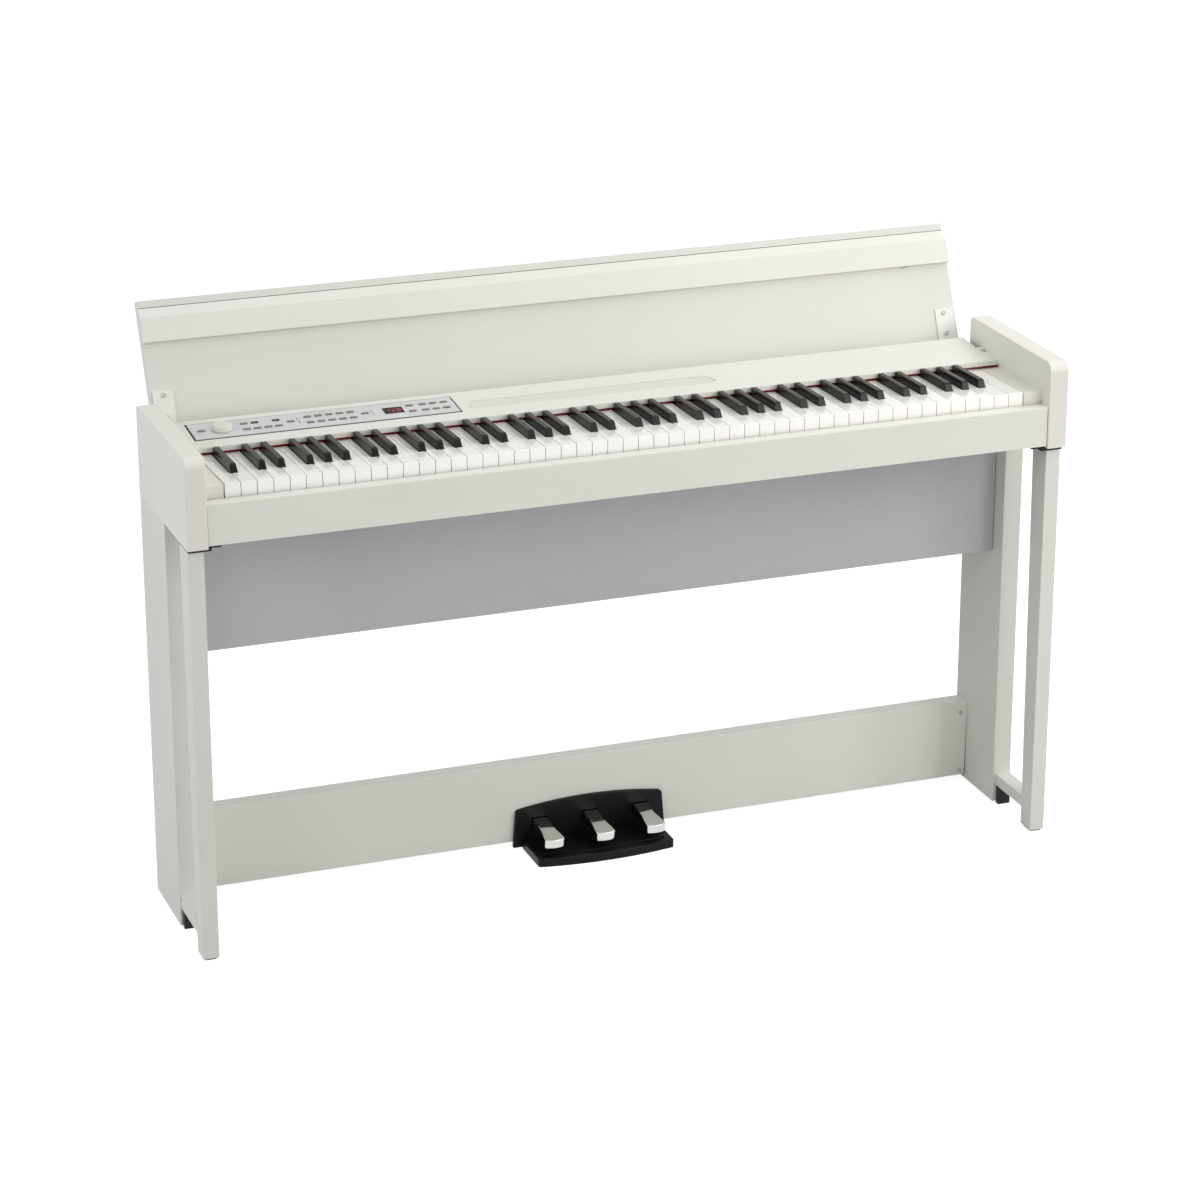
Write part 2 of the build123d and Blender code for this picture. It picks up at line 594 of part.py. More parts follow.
def control_holes():
    """Holes for the buttons, the knob shaft and the display through the sheets of the control panel."""
    z0 = -BEZEL_THICKNESS - CUT_OVERRUN
    z1 = PLATE_THICKNESS + CUT_OVERRUN
    width = BUTTON_WIDTH + 2 * MOVING_GAP
    depth = BUTTON_DEPTH + 2 * MOVING_GAP
    hole = Pos(0, 0, z0) * extrude(RectangleRounded(width, depth, BUTTON_CORNER + MOVING_GAP), z1 - z0)
    holes = [Pos(x, y, 0) * hole for places in BUTTON_GROUPS.values() for x, y in places]
    shaft = post_z(KNOB_SHAFT_RADIUS + 2 * MOVING_GAP, z0, z1)
    holes.append(Pos(PLATE_LEFT + KNOB_X, ROW_MIDDLE, 0) * shaft)
    half_x = DISPLAY_WIDTH / 2 + SEAT_GAP
    half_y = DISPLAY_DEPTH / 2 + SEAT_GAP
    window = block(-half_x, half_x, -half_y, half_y, z0, z1)
    holes.append(Pos(PLATE_LEFT + DISPLAY_X, ROW_MIDDLE, 0) * window)
    return holes


def control_bezel():
    """Black backing sheet that shows as a thin frame around the control plate."""
    return on_panel(plate_block(BEZEL_BORDER, -BEZEL_THICKNESS, 0) - control_holes())


def control_plate():
    return on_panel(plate_block(0, 0, PLATE_THICKNESS) - control_holes())


def control_board():
    """Circuit board under the control window, with the body of the volume control on it."""
    board = plate_block(BOARD_LAP - WINDOW_BORDER, -PANEL_THICKNESS - BOARD_THICKNESS, -PANEL_THICKNESS)
    top = -PANEL_THICKNESS + POT_HEIGHT
    pot = block(-POT_HALF, POT_HALF, -POT_HALF, POT_HALF, -PANEL_THICKNESS, top)
    bottom = knob_bottom() - KNOB_SHAFT_LENGTH - POT_BORE_SPARE
    pot -= post_z(KNOB_SHAFT_RADIUS + RUNNING_CLEARANCE, bottom, top)
    return on_panel(board + Pos(PLATE_LEFT + KNOB_X, ROW_MIDDLE, 0) * pot)


def display_window():
    """Display block standing on the control board, its lens just above the plate."""
    top = PLATE_THICKNESS + DISPLAY_RISE
    half_x = DISPLAY_WIDTH / 2
    half_y = DISPLAY_DEPTH / 2
    lens = block(-half_x, half_x, -half_y, half_y, -PANEL_THICKNESS, top)
    return on_panel(Pos(PLATE_LEFT + DISPLAY_X, ROW_MIDDLE, 0) * lens)


def knob_bottom():
    return PLATE_THICKNESS + MOVING_GAP


def volume_knob():
    """Knob and its shaft, which turns in the bore of the volume control."""
    bottom = knob_bottom()
    cap = Pos(0, 0, bottom + KNOB_HEIGHT / 2) * Cone(KNOB_RADIUS, KNOB_TOP_RADIUS, KNOB_HEIGHT)
    cap = fillet(cap.edges().filter_by(GeomType.CIRCLE).group_by(Axis.Z)[-1], KNOB_EDGE_RADIUS)
    knob = cap + post_z(KNOB_SHAFT_RADIUS, bottom - KNOB_SHAFT_LENGTH, bottom)
    return on_panel(Pos(PLATE_LEFT + KNOB_X, ROW_MIDDLE, 0) * knob)


def button():
    """One button: a rounded bar with a flange that keeps it under the plate, and a short stem."""
    top = PLATE_THICKNESS + BUTTON_RISE
    flange_top = -BEZEL_THICKNESS - BUTTON_FLANGE_GAP
    flange_bottom = flange_top - BUTTON_FLANGE_THICKNESS
    cap = extrude(RectangleRounded(BUTTON_WIDTH, BUTTON_DEPTH, BUTTON_CORNER), top - flange_bottom)
    cap = chamfer(cap.edges().group_by(Axis.Z)[-1], BUTTON_EDGE_CHAMFER)
    half_x = BUTTON_WIDTH / 2 + BUTTON_FLANGE
    half_y = BUTTON_DEPTH / 2 + BUTTON_FLANGE
    flange = block(-half_x, half_x, -half_y, half_y, flange_bottom, flange_top)
    half = BUTTON_STEM_WIDTH / 2
    stem = block(-half, half, -half, half, flange_bottom - BUTTON_STEM_LENGTH, flange_bottom)
    return Pos(0, 0, flange_bottom) * cap + flange + stem


def button_group(places):
    one = button()
    return group([on_panel(Pos(x, y, 0) * one) for x, y in places])


def felt_strip():
    """Red felt under the front edge of the top panel."""
    half = INNER_X - FELT_END_GAP
    return on_panel(block(-half, half, 0, FELT_DEPTH, -PANEL_THICKNESS - FELT_THICKNESS, -PANEL_THICKNESS))


# Keys and their places
def at_pivot(part):
    """Move a key drawn flat about its pivot to its resting tilt."""
    return Pos(0, KEY_PIVOT_Y, KEY_PIVOT_Z) * Rot(-KEY_TILT, 0, 0) * part


def key_bore(x0, x1):
    return rod_x(KEY_ROD_RADIUS + RUNNING_CLEARANCE, x0 - CUT_OVERRUN, x1 + CUT_OVERRUN, 0, 0)


def white_key(left_notch, right_notch, left_relief=0.0, right_relief=0.0):
    """White key from x = 0 to the key pitch; notches clear the black keys and reliefs the rod lugs."""
    x0 = KEY_GAP / 2
    x1 = KEY_PITCH - KEY_GAP / 2
    t0 = left_notch if left_notch else x0
    t1 = KEY_PITCH - right_notch if right_notch else x1
    front = -KEY_LENGTH
    notch = front + BLACK_FRONT_SETBACK - NOTCH_FRONT_GAP
    lug = -LUG_RELIEF_START
    top = KEY_PIVOT_DROP
    outline = [(x0, front), (x1, front), (x1, notch), (t1, notch)]
    outline += [(t1, lug), (t1 - right_relief, lug), (t1 - right_relief, KEY_TAIL_REACH)]
    outline += [(t0 + left_relief, KEY_TAIL_REACH), (t0 + left_relief, lug), (t0, lug)]
    outline += [(t0, notch), (x0, notch)]
    outline = [p for i, p in enumerate(outline) if p != outline[i - 1]]
    body = top_prism(outline, top - KEY_BODY_HEIGHT, top)
    body += block(x0, x1, front, front + KEY_LIP_THICKNESS, top - KEY_LIP_HEIGHT, top)
    shown = notch - KEY_EDGE_CHAMFER
    edges = [e for e in body.edges().group_by(Axis.Z)[-1] if e.center().Y < shown]
    return chamfer(edges, KEY_EDGE_CHAMFER) - key_bore(0, KEY_PITCH)


def black_key():
    """Black key centred on x = 0: a tapered cap on a body that runs back to the pivot."""
    half = BLACK_WIDTH / 2
    top = KEY_PIVOT_DROP + BLACK_RISE
    front = -KEY_LENGTH + BLACK_FRONT_SETBACK
    rear = front + BLACK_CAP_LENGTH
    bottom = KEY_PIVOT_DROP - KEY_BODY_HEIGHT
    tail_top = KEY_PIVOT_DROP - BLACK_TAIL_DROP
    side = [
        (front, bottom),
        (front, KEY_PIVOT_DROP - BLACK_FRONT_STEP),
        (front + BLACK_FRONT_SLOPE, top - BLACK_NOSE_DROP),
        (front + BLACK_FRONT_SLOPE + BLACK_NOSE_LENGTH, top),
        (rear, top),
        (rear, tail_top),
        (KEY_TAIL_REACH, tail_top),
        (KEY_TAIL_REACH, bottom),
    ]
    narrow = half - BLACK_SIDE_TAPER
    crown = narrow - BLACK_TOP_CHAMFER
    shoulder = top - BLACK_TOP_CHAMFER
    right = [(half, bottom), (half, KEY_PIVOT_DROP), (narrow, shoulder), (crown, top)]
    across = right + [(-x, z) for x, z in reversed(right)]
    section = front_prism(across, front - CUT_OVERRUN, KEY_TAIL_REACH + CUT_OVERRUN)
    body = side_prism(side, -half, half) & section
    return body - key_bore(-half, half)


def key_nodes():
    """All 88 keys, gathered by note name."""
    low = (3 * KEY_PITCH - 2 * BLACK_SLOT) / 3
    high = (4 * KEY_PITCH - 3 * BLACK_SLOT) / 4
    low_cut = KEY_PITCH - low
    high_cut = KEY_PITCH - high
    near_cut = high + BLACK_SLOT - KEY_PITCH
    far_cut = high_cut - near_cut
    high_start = 3 * KEY_PITCH
    whites = {
        "c": (0, low_cut, LUG_RELIEF, 0),
        "d": (low_cut / 2, low_cut / 2, 0, 0),
        "e": (low_cut, 0, 0, 0),
        "f": (0, high_cut, 0, 0),
        "g": (near_cut, far_cut, 0, 0),
        "a": (far_cut, near_cut, 0, 0),
        "b": (high_cut, 0, 0, LUG_RELIEF),
    }
    blacks = {
        "c_sharp": low + BLACK_SLOT / 2,
        "d_sharp": 2 * low + BLACK_SLOT * 3 / 2,
        "f_sharp": high_start + high + BLACK_SLOT / 2,
        "g_sharp": high_start + 2 * high + BLACK_SLOT * 3 / 2,
        "a_sharp": high_start + 3 * high + BLACK_SLOT * 5 / 2,
    }
    nodes = {}
    for step, (note, shape) in enumerate(whites.items()):
        one = white_key(*shape)
        starts = [FIRST_C + k * OCTAVE_PITCH + step * KEY_PITCH for k in range(OCTAVES)]
        nodes[note] = [at_pivot(Pos(x, 0, 0) * one) for x in starts]
    nodes["a"].append(at_pivot(Pos(KEYS_LEFT, 0, 0) * white_key(0, near_cut)))
    nodes["b"].append(at_pivot(Pos(KEYS_LEFT + KEY_PITCH, 0, 0) * white_key(*whites["b"])))
    nodes["c"].append(at_pivot(Pos(FIRST_C + OCTAVES * OCTAVE_PITCH, 0, 0) * white_key(0, 0, LUG_RELIEF)))
    sharp = black_key()
    for note, place in blacks.items():
        first = -1 if note == "a_sharp" else 0
        starts = [FIRST_C + k * OCTAVE_PITCH + place for k in range(first, OCTAVES)]
        nodes[note] = [at_pivot(Pos(x, 0, 0) * sharp) for x in starts]
    return {f"keys_{note}": group(solids) for note, solids in nodes.items()}


# Pieces inside the case
def lug_places():
    end = KEYBOARD_WIDTH / 2 + END_LUG_OFFSET
    return [-end] + [FIRST_C + k * OCTAVE_PITCH for k in range(OCTAVES + 1)] + [end]


def key_pivot_rail():
    """Rail on the keybed that carries the key rod in lugs between the octaves."""
    end = KEYBOARD_WIDTH / 2 + END_LUG_OFFSET + LUG_THICKNESS / 2
    top = KEY_PIVOT_Z - PIVOT_RAIL_DROP
    y0 = KEY_PIVOT_Y - PIVOT_RAIL_FRONT
    y1 = KEY_PIVOT_Y + PIVOT_RAIL_REAR
    rail = block(-end, end, y0, y1, KEYBED_TOP_Z, top)
    y0 = KEY_PIVOT_Y - PIVOT_LUG_HALF_DEPTH
    y1 = KEY_PIVOT_Y + PIVOT_LUG_HALF_DEPTH
    half = LUG_THICKNESS / 2
    for x in lug_places():
        rail += block(x - half, x + half, y0, y1, KEYBED_TOP_Z, KEY_PIVOT_Z + PIVOT_LUG_RISE)
    return rail - key_rod()


def key_rod():
    half = KEYBOARD_WIDTH / 2 + END_LUG_OFFSET + LUG_THICKNESS / 2
    return rod_x(KEY_ROD_RADIUS, -half, half, KEY_PIVOT_Y, KEY_PIVOT_Z)


def key_stop_rail():
    """Felt-topped rail that the keys land on."""
    half = KEYBOARD_WIDTH / 2
    y0 = KEY_FRONT_Y + STOP_RAIL_SETBACK
    return block(-half, half, y0, y0 + STOP_RAIL_DEPTH, KEYBED_TOP_Z, KEY_PIVOT_Z - STOP_RAIL_DROP)


def key_contact_board():
    """Contact board under the keys on two ribs, with a row of rubber domes."""
    half = KEYBOARD_WIDTH / 2
    y0 = KEY_FRONT_Y + CONTACT_SETBACK
    y1 = y0 + CONTACT_DEPTH
    low = KEY_PIVOT_Z - CONTACT_DROP
    top = low + BOARD_THICKNESS
    board = block(-half, half, y0, y1, low, top)
    board += block(-half, half, y0, y0 + CONTACT_RIB, KEYBED_TOP_Z, low)
    board += block(-half, half, y1 - CONTACT_RIB, y1, KEYBED_TOP_Z, low)
    dome = (y0 + y1 - CONTACT_DOME_WIDTH) / 2
    return board + block(-half, half, dome, dome + CONTACT_DOME_WIDTH, top, top + CONTACT_DOME_HEIGHT)


def speaker():
    """Oval speaker seated over its opening in the keybed."""
    flange = extrude(SlotOverall(SPEAKER_LENGTH, SPEAKER_WIDTH), SPEAKER_FLANGE)
    rim = Pos(0, 0, SPEAKER_FLANGE) * speaker_opening()
    basket = extrude(rim, SPEAKER_BASKET_HEIGHT, taper=SPEAKER_BASKET_TAPER)
    top = SPEAKER_FLANGE + SPEAKER_BASKET_HEIGHT
    return flange + basket + post_z(SPEAKER_MAGNET_RADIUS, top, top + SPEAKER_MAGNET_HEIGHT)


def speakers():
    one = speaker()
    return group([Pos(x, SPEAKER_Y, KEYBED_TOP_Z) * one for x in (-SPEAKER_X, SPEAKER_X)])


def socket_panel():
    """Plastic insert in the back of the case with the sockets."""
    x0 = SOCKET_X - SOCKET_WIDTH / 2
    y0 = PANEL_REAR_Y - SOCKET_DEPTH
    insert = block(x0, x0 + SOCKET_WIDTH, y0, PANEL_REAR_Y, SOCKET_BOTTOM_Z, SOCKET_TOP_Z)
    hole = Rot(90, 0, 0) * post_z(SOCKET_HOLE_RADIUS, -CUT_OVERRUN, SOCKET_HOLE_DEPTH)
    for i in range(SOCKET_COUNT):
        x = x0 + SOCKET_MARGIN + SOCKET_PITCH * i
        insert -= Pos(x, PANEL_REAR_Y, SOCKET_BOTTOM_Z + SOCKET_HEIGHT / 2) * hole
    return insert


# Lid
def on_lid(part):
    """Move a piece drawn flat onto the open lid."""
    return LID_PLANE.location * part


def lid_screw_spots():
    return [(x, y) for x in (-LID_SCREW_X, LID_SCREW_X) for y in LID_SCREW_PLACES]


def lid_board():
    """Long cover board; a rabbet along its front edge takes the lip."""
    outline = [
        (-LID_TAIL, -LID_THICKNESS),
        (LID_REACH, -LID_THICKNESS),
        (LID_REACH, -RABBET_DEPTH),
        (RABBET_START, -RABBET_DEPTH),
        (RABBET_START, 0),
        (-LID_TAIL, 0),
    ]
    board = side_prism(outline, -LID_HALF, LID_HALF)
    board = fillet(board.edges().filter_by(Axis.X).group_by(Axis.Y)[0], LID_EDGE_RADIUS)
    for x, y in lid_screw_spots():
        board -= Pos(x, y, BRACKET_THICKNESS) * screw_hole()
    return on_lid(board)


def lid_lip():
    """Moulding along the front edge of the lid."""
    outline = [
        (LIP_BOTTOM, 0),
        (LIP_BOTTOM, LIP_RISE),
        (LIP_CREASE, LIP_RISE),
        (LIP_TOP, -RABBET_DEPTH),
        (RABBET_START, -RABBET_DEPTH),
        (RABBET_START, 0),
    ]
    strip = side_prism(outline, -LID_HALF, LID_HALF)
    return on_lid(fillet(strip.edges().filter_by(Axis.X).group_by(Axis.Z)[-1], LIP_EDGE_RADIUS))


def lid_bracket():
    """Right-hand hinge bracket: a plate on the lid, a web and a boss bored for the hinge pin."""
    bracket = block(BRACKET_INNER_X, BRACKET_OUTER_X, -BRACKET_TAIL, BRACKET_REACH, 0, BRACKET_THICKNESS)
    web = [
        (-WEB_HALF_WIDTH, 0),
        (WEB_HALF_WIDTH, 0),
        (WEB_TIP_HALF, HINGE_DISTANCE),
        (-WEB_TIP_HALF, HINGE_DISTANCE),
    ]
    bracket += side_prism(web, WEB_INNER_X, BRACKET_OUTER_X)
    bracket += rod_x(BOSS_RADIUS, WEB_INNER_X, BOSS_OUTER_X, 0, HINGE_DISTANCE)
    x0 = WEB_INNER_X - CUT_OVERRUN
    bracket -= rod_x(PIN_RADIUS + RUNNING_CLEARANCE, x0, BOSS_OUTER_X + CUT_OVERRUN, 0, HINGE_DISTANCE)
    for y in LID_SCREW_PLACES:
        bracket -= Pos(LID_SCREW_X, y, BRACKET_THICKNESS) * screw_hole()
    return on_lid(bracket)


def lid_screws():
    one = screw()
    return group([on_lid(Pos(x, y, BRACKET_THICKNESS) * one) for x, y in lid_screw_spots()])


def hinge_pins():
    pin = rod_x(PIN_RADIUS, PIN_INNER_X, INNER_X + PIN_DEPTH_IN_ARM, HINGE_Y, HINGE_Z)
    return group(both_sides(pin))


# Stand
def side_board():
    """Wide rear board of the right leg, under the arm and nearly flush with it."""
    y0 = SIDE_BOARD_FRONT_Y
    board = block(INNER_X, SIDE_BOARD_OUTER_X, y0, SIDE_BOARD_REAR_Y, GLIDE_HEIGHT, ARM_BOTTOM)
    return fillet(board.edges().filter_by(Axis.Z), SIDE_BOARD_EDGE_RADIUS)


def front_post():
    """Slim front post of the right leg and the low rail that runs back from it to the side board."""
    foot_rear = POST_FRONT_Y + POST_DEPTH_BOTTOM
    outline = [
        (POST_FRONT_Y, GLIDE_HEIGHT),
        (foot_rear, GLIDE_HEIGHT),
        (foot_rear, LOWER_RAIL_BOTTOM_Z),
        (SIDE_BOARD_FRONT_Y, LOWER_RAIL_BOTTOM_Z),
        (SIDE_BOARD_FRONT_Y, LOWER_RAIL_TOP_Z),
        (foot_rear, LOWER_RAIL_TOP_Z),
        (POST_FRONT_Y + POST_DEPTH_TOP, POST_TOP_Z),
        (POST_FRONT_Y, POST_TOP_Z),
    ]
    board = side_prism(outline, POST_INNER_X, POST_OUTER_X)
    return fillet(board.edges().filter_by(Axis.Z).group_by(Axis.Y)[0], POST_EDGE_RADIUS)


def leg_pad():
    """Black plate between the right post and the case, stepped up to the underside of the front rail."""
    rear = POST_FRONT_Y + POST_DEPTH_TOP
    pad = block(INNER_X - PAD_STEP, POST_OUTER_X, PAD_FRONT_Y, rear, POST_TOP_Z, ARM_BOTTOM)
    y0 = RAIL_FRONT_Y + PAD_FRONT_Y
    z0 = RAIL_BOTTOM_Z - PAD_THICKNESS
    return pad + block(PAD_INNER_X, INNER_X, y0, y0 + PAD_RISER_DEPTH, z0, RAIL_BOTTOM_Z)


def glide(y):
    """Black glide under the right leg."""
    pad = Pos(POST_MIDDLE_X, y, GLIDE_HEIGHT / 2) * Box(GLIDE_WIDTH, GLIDE_LENGTH, GLIDE_HEIGHT)
    return fillet(pad.edges().filter_by(Axis.Z), GLIDE_CORNER)


def glides():
    front = POST_FRONT_Y + POST_DEPTH_BOTTOM / 2
    middle = SIDE_BOARD_FRONT_Y + GLIDE_LENGTH
    rear = SIDE_BOARD_REAR_Y - GLIDE_LENGTH
    return group([side for y in (front, middle, rear) for side in both_sides(glide(y))])


def foot_block():
    """Black block under the low rail, in front of the side board of the right leg."""
    x0 = POST_MIDDLE_X - FOOT_WIDTH / 2
    y0 = SIDE_BOARD_FRONT_Y - FOOT_LENGTH
    return block(x0, x0 + FOOT_WIDTH, y0, SIDE_BOARD_FRONT_Y, 0, LOWER_RAIL_BOTTOM_Z)


def knee_panel():
    half = INNER_X - KNEE_SIDE_GAP
    return block(-half, half, KNEE_FRONT_Y, KNEE_FRONT_Y + KNEE_THICKNESS, KNEE_BOTTOM_Z, ARM_BOTTOM)


def beam_screw_spots():
    x = INNER_X - BEAM_SCREW_INSET
    return [(side, BEAM_BOTTOM_Z + z) for side in (-x, x) for z in (BEAM_SCREW_LOW, BEAM_SCREW_HIGH)]


def cross_beam():
    """Low board between the legs, with a pocket for the pedal chassis."""
    foot_half = INNER_X - BEAM_END_TAPER
    right = [(foot_half, BEAM_BOTTOM_Z), (INNER_X, BEAM_TOP_Z)]
    board = front_prism(right + [(-x, z) for x, z in reversed(right)], BEAM_FRONT_Y, BEAM_REAR_Y)
    board = fillet(board.edges().filter_by(Axis.X), BEAM_EDGE_RADIUS)
    y0 = BEAM_FRONT_Y - CUT_OVERRUN
    board -= block(-POCKET_HALF, POCKET_HALF, y0, POCKET_REAR_Y, POCKET_BOTTOM_Z, POCKET_TOP_Z)
    for x, z in beam_screw_spots():
        board -= Pos(x, BEAM_FRONT_Y, z) * Rot(90, 0, 0) * screw_hole()
    return board


def case_screws():
    """Screws that show: two on the top panel and four on the cross beam."""
    one = screw()
    screws = [on_panel(Pos(x, y, 0) * one) for x, y in panel_screw_places()]
    screws += [Pos(x, BEAM_FRONT_Y, z) * Rot(90, 0, 0) * one for x, z in beam_screw_spots()]
    return group(screws)


def stand_bracket(y, z):
    """Steel angle in the corner between a cross board and the right side board."""
    flat = block(INNER_X - ANGLE_LEG, INNER_X, y, y + ANGLE_SHEET, z, z + ANGLE_HEIGHT)
    return flat + block(INNER_X - ANGLE_SHEET, INNER_X, y, y + ANGLE_DEPTH, z, z + ANGLE_HEIGHT)


def stand_brackets():
    knee_rear = KNEE_FRONT_Y + KNEE_THICKNESS
    places = [(knee_rear, KNEE_BOTTOM_Z + z) for z in (KNEE_ANGLE_LOW, KNEE_ANGLE_HIGH)]
    places.append((BEAM_REAR_Y, BEAM_BOTTOM_Z + BEAM_ANGLE_LOW))
    return group([side for y, z in places for side in both_sides(stand_bracket(y, z))])


# Pedals
def pedal_back_plate():
    """Arched black plate on the cross beam with a slot for each pedal."""
    foot = PEDAL_PLATE_HALF_FOOT
    top = PEDAL_PLATE_HALF_TOP
    with BuildSketch(Plane(origin=(0, BEAM_FRONT_Y, 0), x_dir=(1, 0, 0), z_dir=(0, -1, 0))) as sketch:
        with BuildLine():
            Line((-foot, PEDAL_PLATE_FOOT_Z), (foot, PEDAL_PLATE_FOOT_Z))
            Line((foot, PEDAL_PLATE_FOOT_Z), (top, PEDAL_PLATE_SIDE_Z))
            ThreePointArc((top, PEDAL_PLATE_SIDE_Z), (0, PEDAL_PLATE_CROWN_Z), (-top, PEDAL_PLATE_SIDE_Z))
            Line((-top, PEDAL_PLATE_SIDE_Z), (-foot, PEDAL_PLATE_FOOT_Z))
        make_face()
    plate = extrude(sketch.sketch, PEDAL_PLATE_THICKNESS)
    plate = fillet(plate.edges().filter_by(Axis.Y).group_by(Axis.Z)[-1], PEDAL_PLATE_CORNER)
    face = plate.faces().sort_by(Axis.Y)[0]
    rim = [e for e in face.edges() if e.center().Z > PEDAL_PLATE_FOOT_Z + PEDAL_PLATE_EDGE_RADIUS]
    plate = fillet(rim, PEDAL_PLATE_EDGE_RADIUS)
    half = PEDAL_HALF_REAR + PEDAL_SLOT_GAP
    z0 = PEDAL_ROD_Z - PEDAL_SLOT_BELOW_ROD
    z1 = PEDAL_ROD_Z + PEDAL_SLOT_ABOVE_ROD
    y0 = PEDAL_PLATE_FRONT_Y - CUT_OVERRUN
    y1 = BEAM_FRONT_Y + CUT_OVERRUN
    for x in PEDAL_PLACES:
        plate -= block(x - half, x + half, y0, y1, z0, z1)
    return plate


def bowed_sketch(half, front_y, rear_y):
    """Outline with a bowed front, as seen from above."""
    corner_y = front_y + BASE_BOW
    with BuildSketch() as sketch:
        with BuildLine():
            Line((-half, rear_y), (half, rear_y))
            Line((half, rear_y), (half, corner_y))
            ThreePointArc((half, corner_y), (0, front_y), (-half, corner_y))
            Line((-half, corner_y), (-half, rear_y))
        make_face()
    return sketch.sketch


def base_ridge():
    """Raised bead behind the bowed front of the pedal base."""
    half = BASE_HALF - RIDGE_END_GAP
    front = BASE_FRONT_Y + RIDGE_SETBACK
    rear = front + BASE_BOW + RIDGE_WIDTH
    outer = extrude(bowed_sketch(half, front, rear), RIDGE_HEIGHT)
    inner = extrude(bowed_sketch(half + CUT_OVERRUN, front + RIDGE_WIDTH, rear + CUT_OVERRUN), RIDGE_HEIGHT)
    bead = outer - inner
    return Pos(0, 0, BASE_HEIGHT) * fillet(bead.faces().sort_by(Axis.Z)[-1].edges(), RIDGE_EDGE_RADIUS)


def pedal_base():
    """Black foot of the pedal unit on the floor, with a raised ridge behind its bowed front."""
    rear = PEDAL_PLATE_FRONT_Y
    foot = extrude(bowed_sketch(BASE_HALF, BASE_FRONT_Y, rear), BASE_HEIGHT)
    foot = fillet(foot.edges().filter_by(Axis.Z).group_by(Axis.Y)[0], BASE_CORNER)
    rim = [e for e in foot.faces().sort_by(Axis.Z)[-1].edges() if e.center().Y < rear - CUT_OVERRUN]
    return fillet(rim, BASE_EDGE_RADIUS) + base_ridge()


def pedal_rod():
    half = CHASSIS_END + CHASSIS_LUG
    return rod_x(PEDAL_ROD_RADIUS, -half, half, PEDAL_ROD_Y, PEDAL_ROD_Z)


def pedal_chassis():
    """Steel tray in the pocket of the cross beam, with lugs that hold the pedal rod."""
    end = POCKET_HALF - SEAT_GAP
    floor = POCKET_BOTTOM_Z + CHASSIS_FLOOR
    tray = block(-end, end, BEAM_FRONT_Y + SEAT_GAP, POCKET_REAR_Y, POCKET_BOTTOM_Z, floor)
    y0 = PEDAL_ROD_Y - CHASSIS_LUG_HALF_DEPTH
    y1 = PEDAL_ROD_Y + CHASSIS_LUG_HALF_DEPTH
    half = CHASSIS_LUG / 2
    for x in CHASSIS_LUG_PLACES:
        tray += block(x - half, x + half, y0, y1, POCKET_BOTTOM_Z, PEDAL_ROD_Z + CHASSIS_LUG_ABOVE_ROD)
    return tray - pedal_rod()


def pedal():
    """One pedal drawn flat about its rod: a bar that widens to a rounded nose."""
    shoulder = PEDAL_NOSE - PEDAL_LENGTH
    flare = [(PEDAL_HALF_REAR, -PEDAL_FLARE_START), (PEDAL_HALF_FRONT, shoulder)]
    other = [(-x, y) for x, y in flare]
    straight = ((0, -1), (0, -1))
    with BuildSketch() as sketch:
        with BuildLine():
            Line((-PEDAL_HALF_REAR, PEDAL_TAIL), (PEDAL_HALF_REAR, PEDAL_TAIL))
            Line((PEDAL_HALF_REAR, PEDAL_TAIL), flare[0])
            Spline(*flare, tangents=straight)
            ThreePointArc(flare[1], (0, -PEDAL_LENGTH), other[1])
            Spline(*other, tangents=straight)
            Line(other[0], (-PEDAL_HALF_REAR, PEDAL_TAIL))
        make_face()
    bar = Pos(0, 0, PEDAL_TOP_ABOVE_ROD - PEDAL_THICKNESS) * extrude(sketch.sketch, PEDAL_THICKNESS)
    bar = fillet(bar.edges().filter_by(Axis.Z).group_by(Axis.Y)[0], PEDAL_NOSE_RADIUS)
    rim = [e for e in bar.faces().sort_by(Axis.Z)[-1].edges() if e.center().Y < PEDAL_TAIL - CUT_OVERRUN]
    bar = fillet(rim, PEDAL_EDGE_RADIUS)
    half = PEDAL_HALF_FRONT + CUT_OVERRUN
    return bar - rod_x(PEDAL_ROD_RADIUS + RUNNING_CLEARANCE, -half, half, 0, 0)


def pedal_at(x):
    return Pos(x, PEDAL_ROD_Y, PEDAL_ROD_Z) * Rot(PEDAL_SLOPE, 0, 0) * pedal()


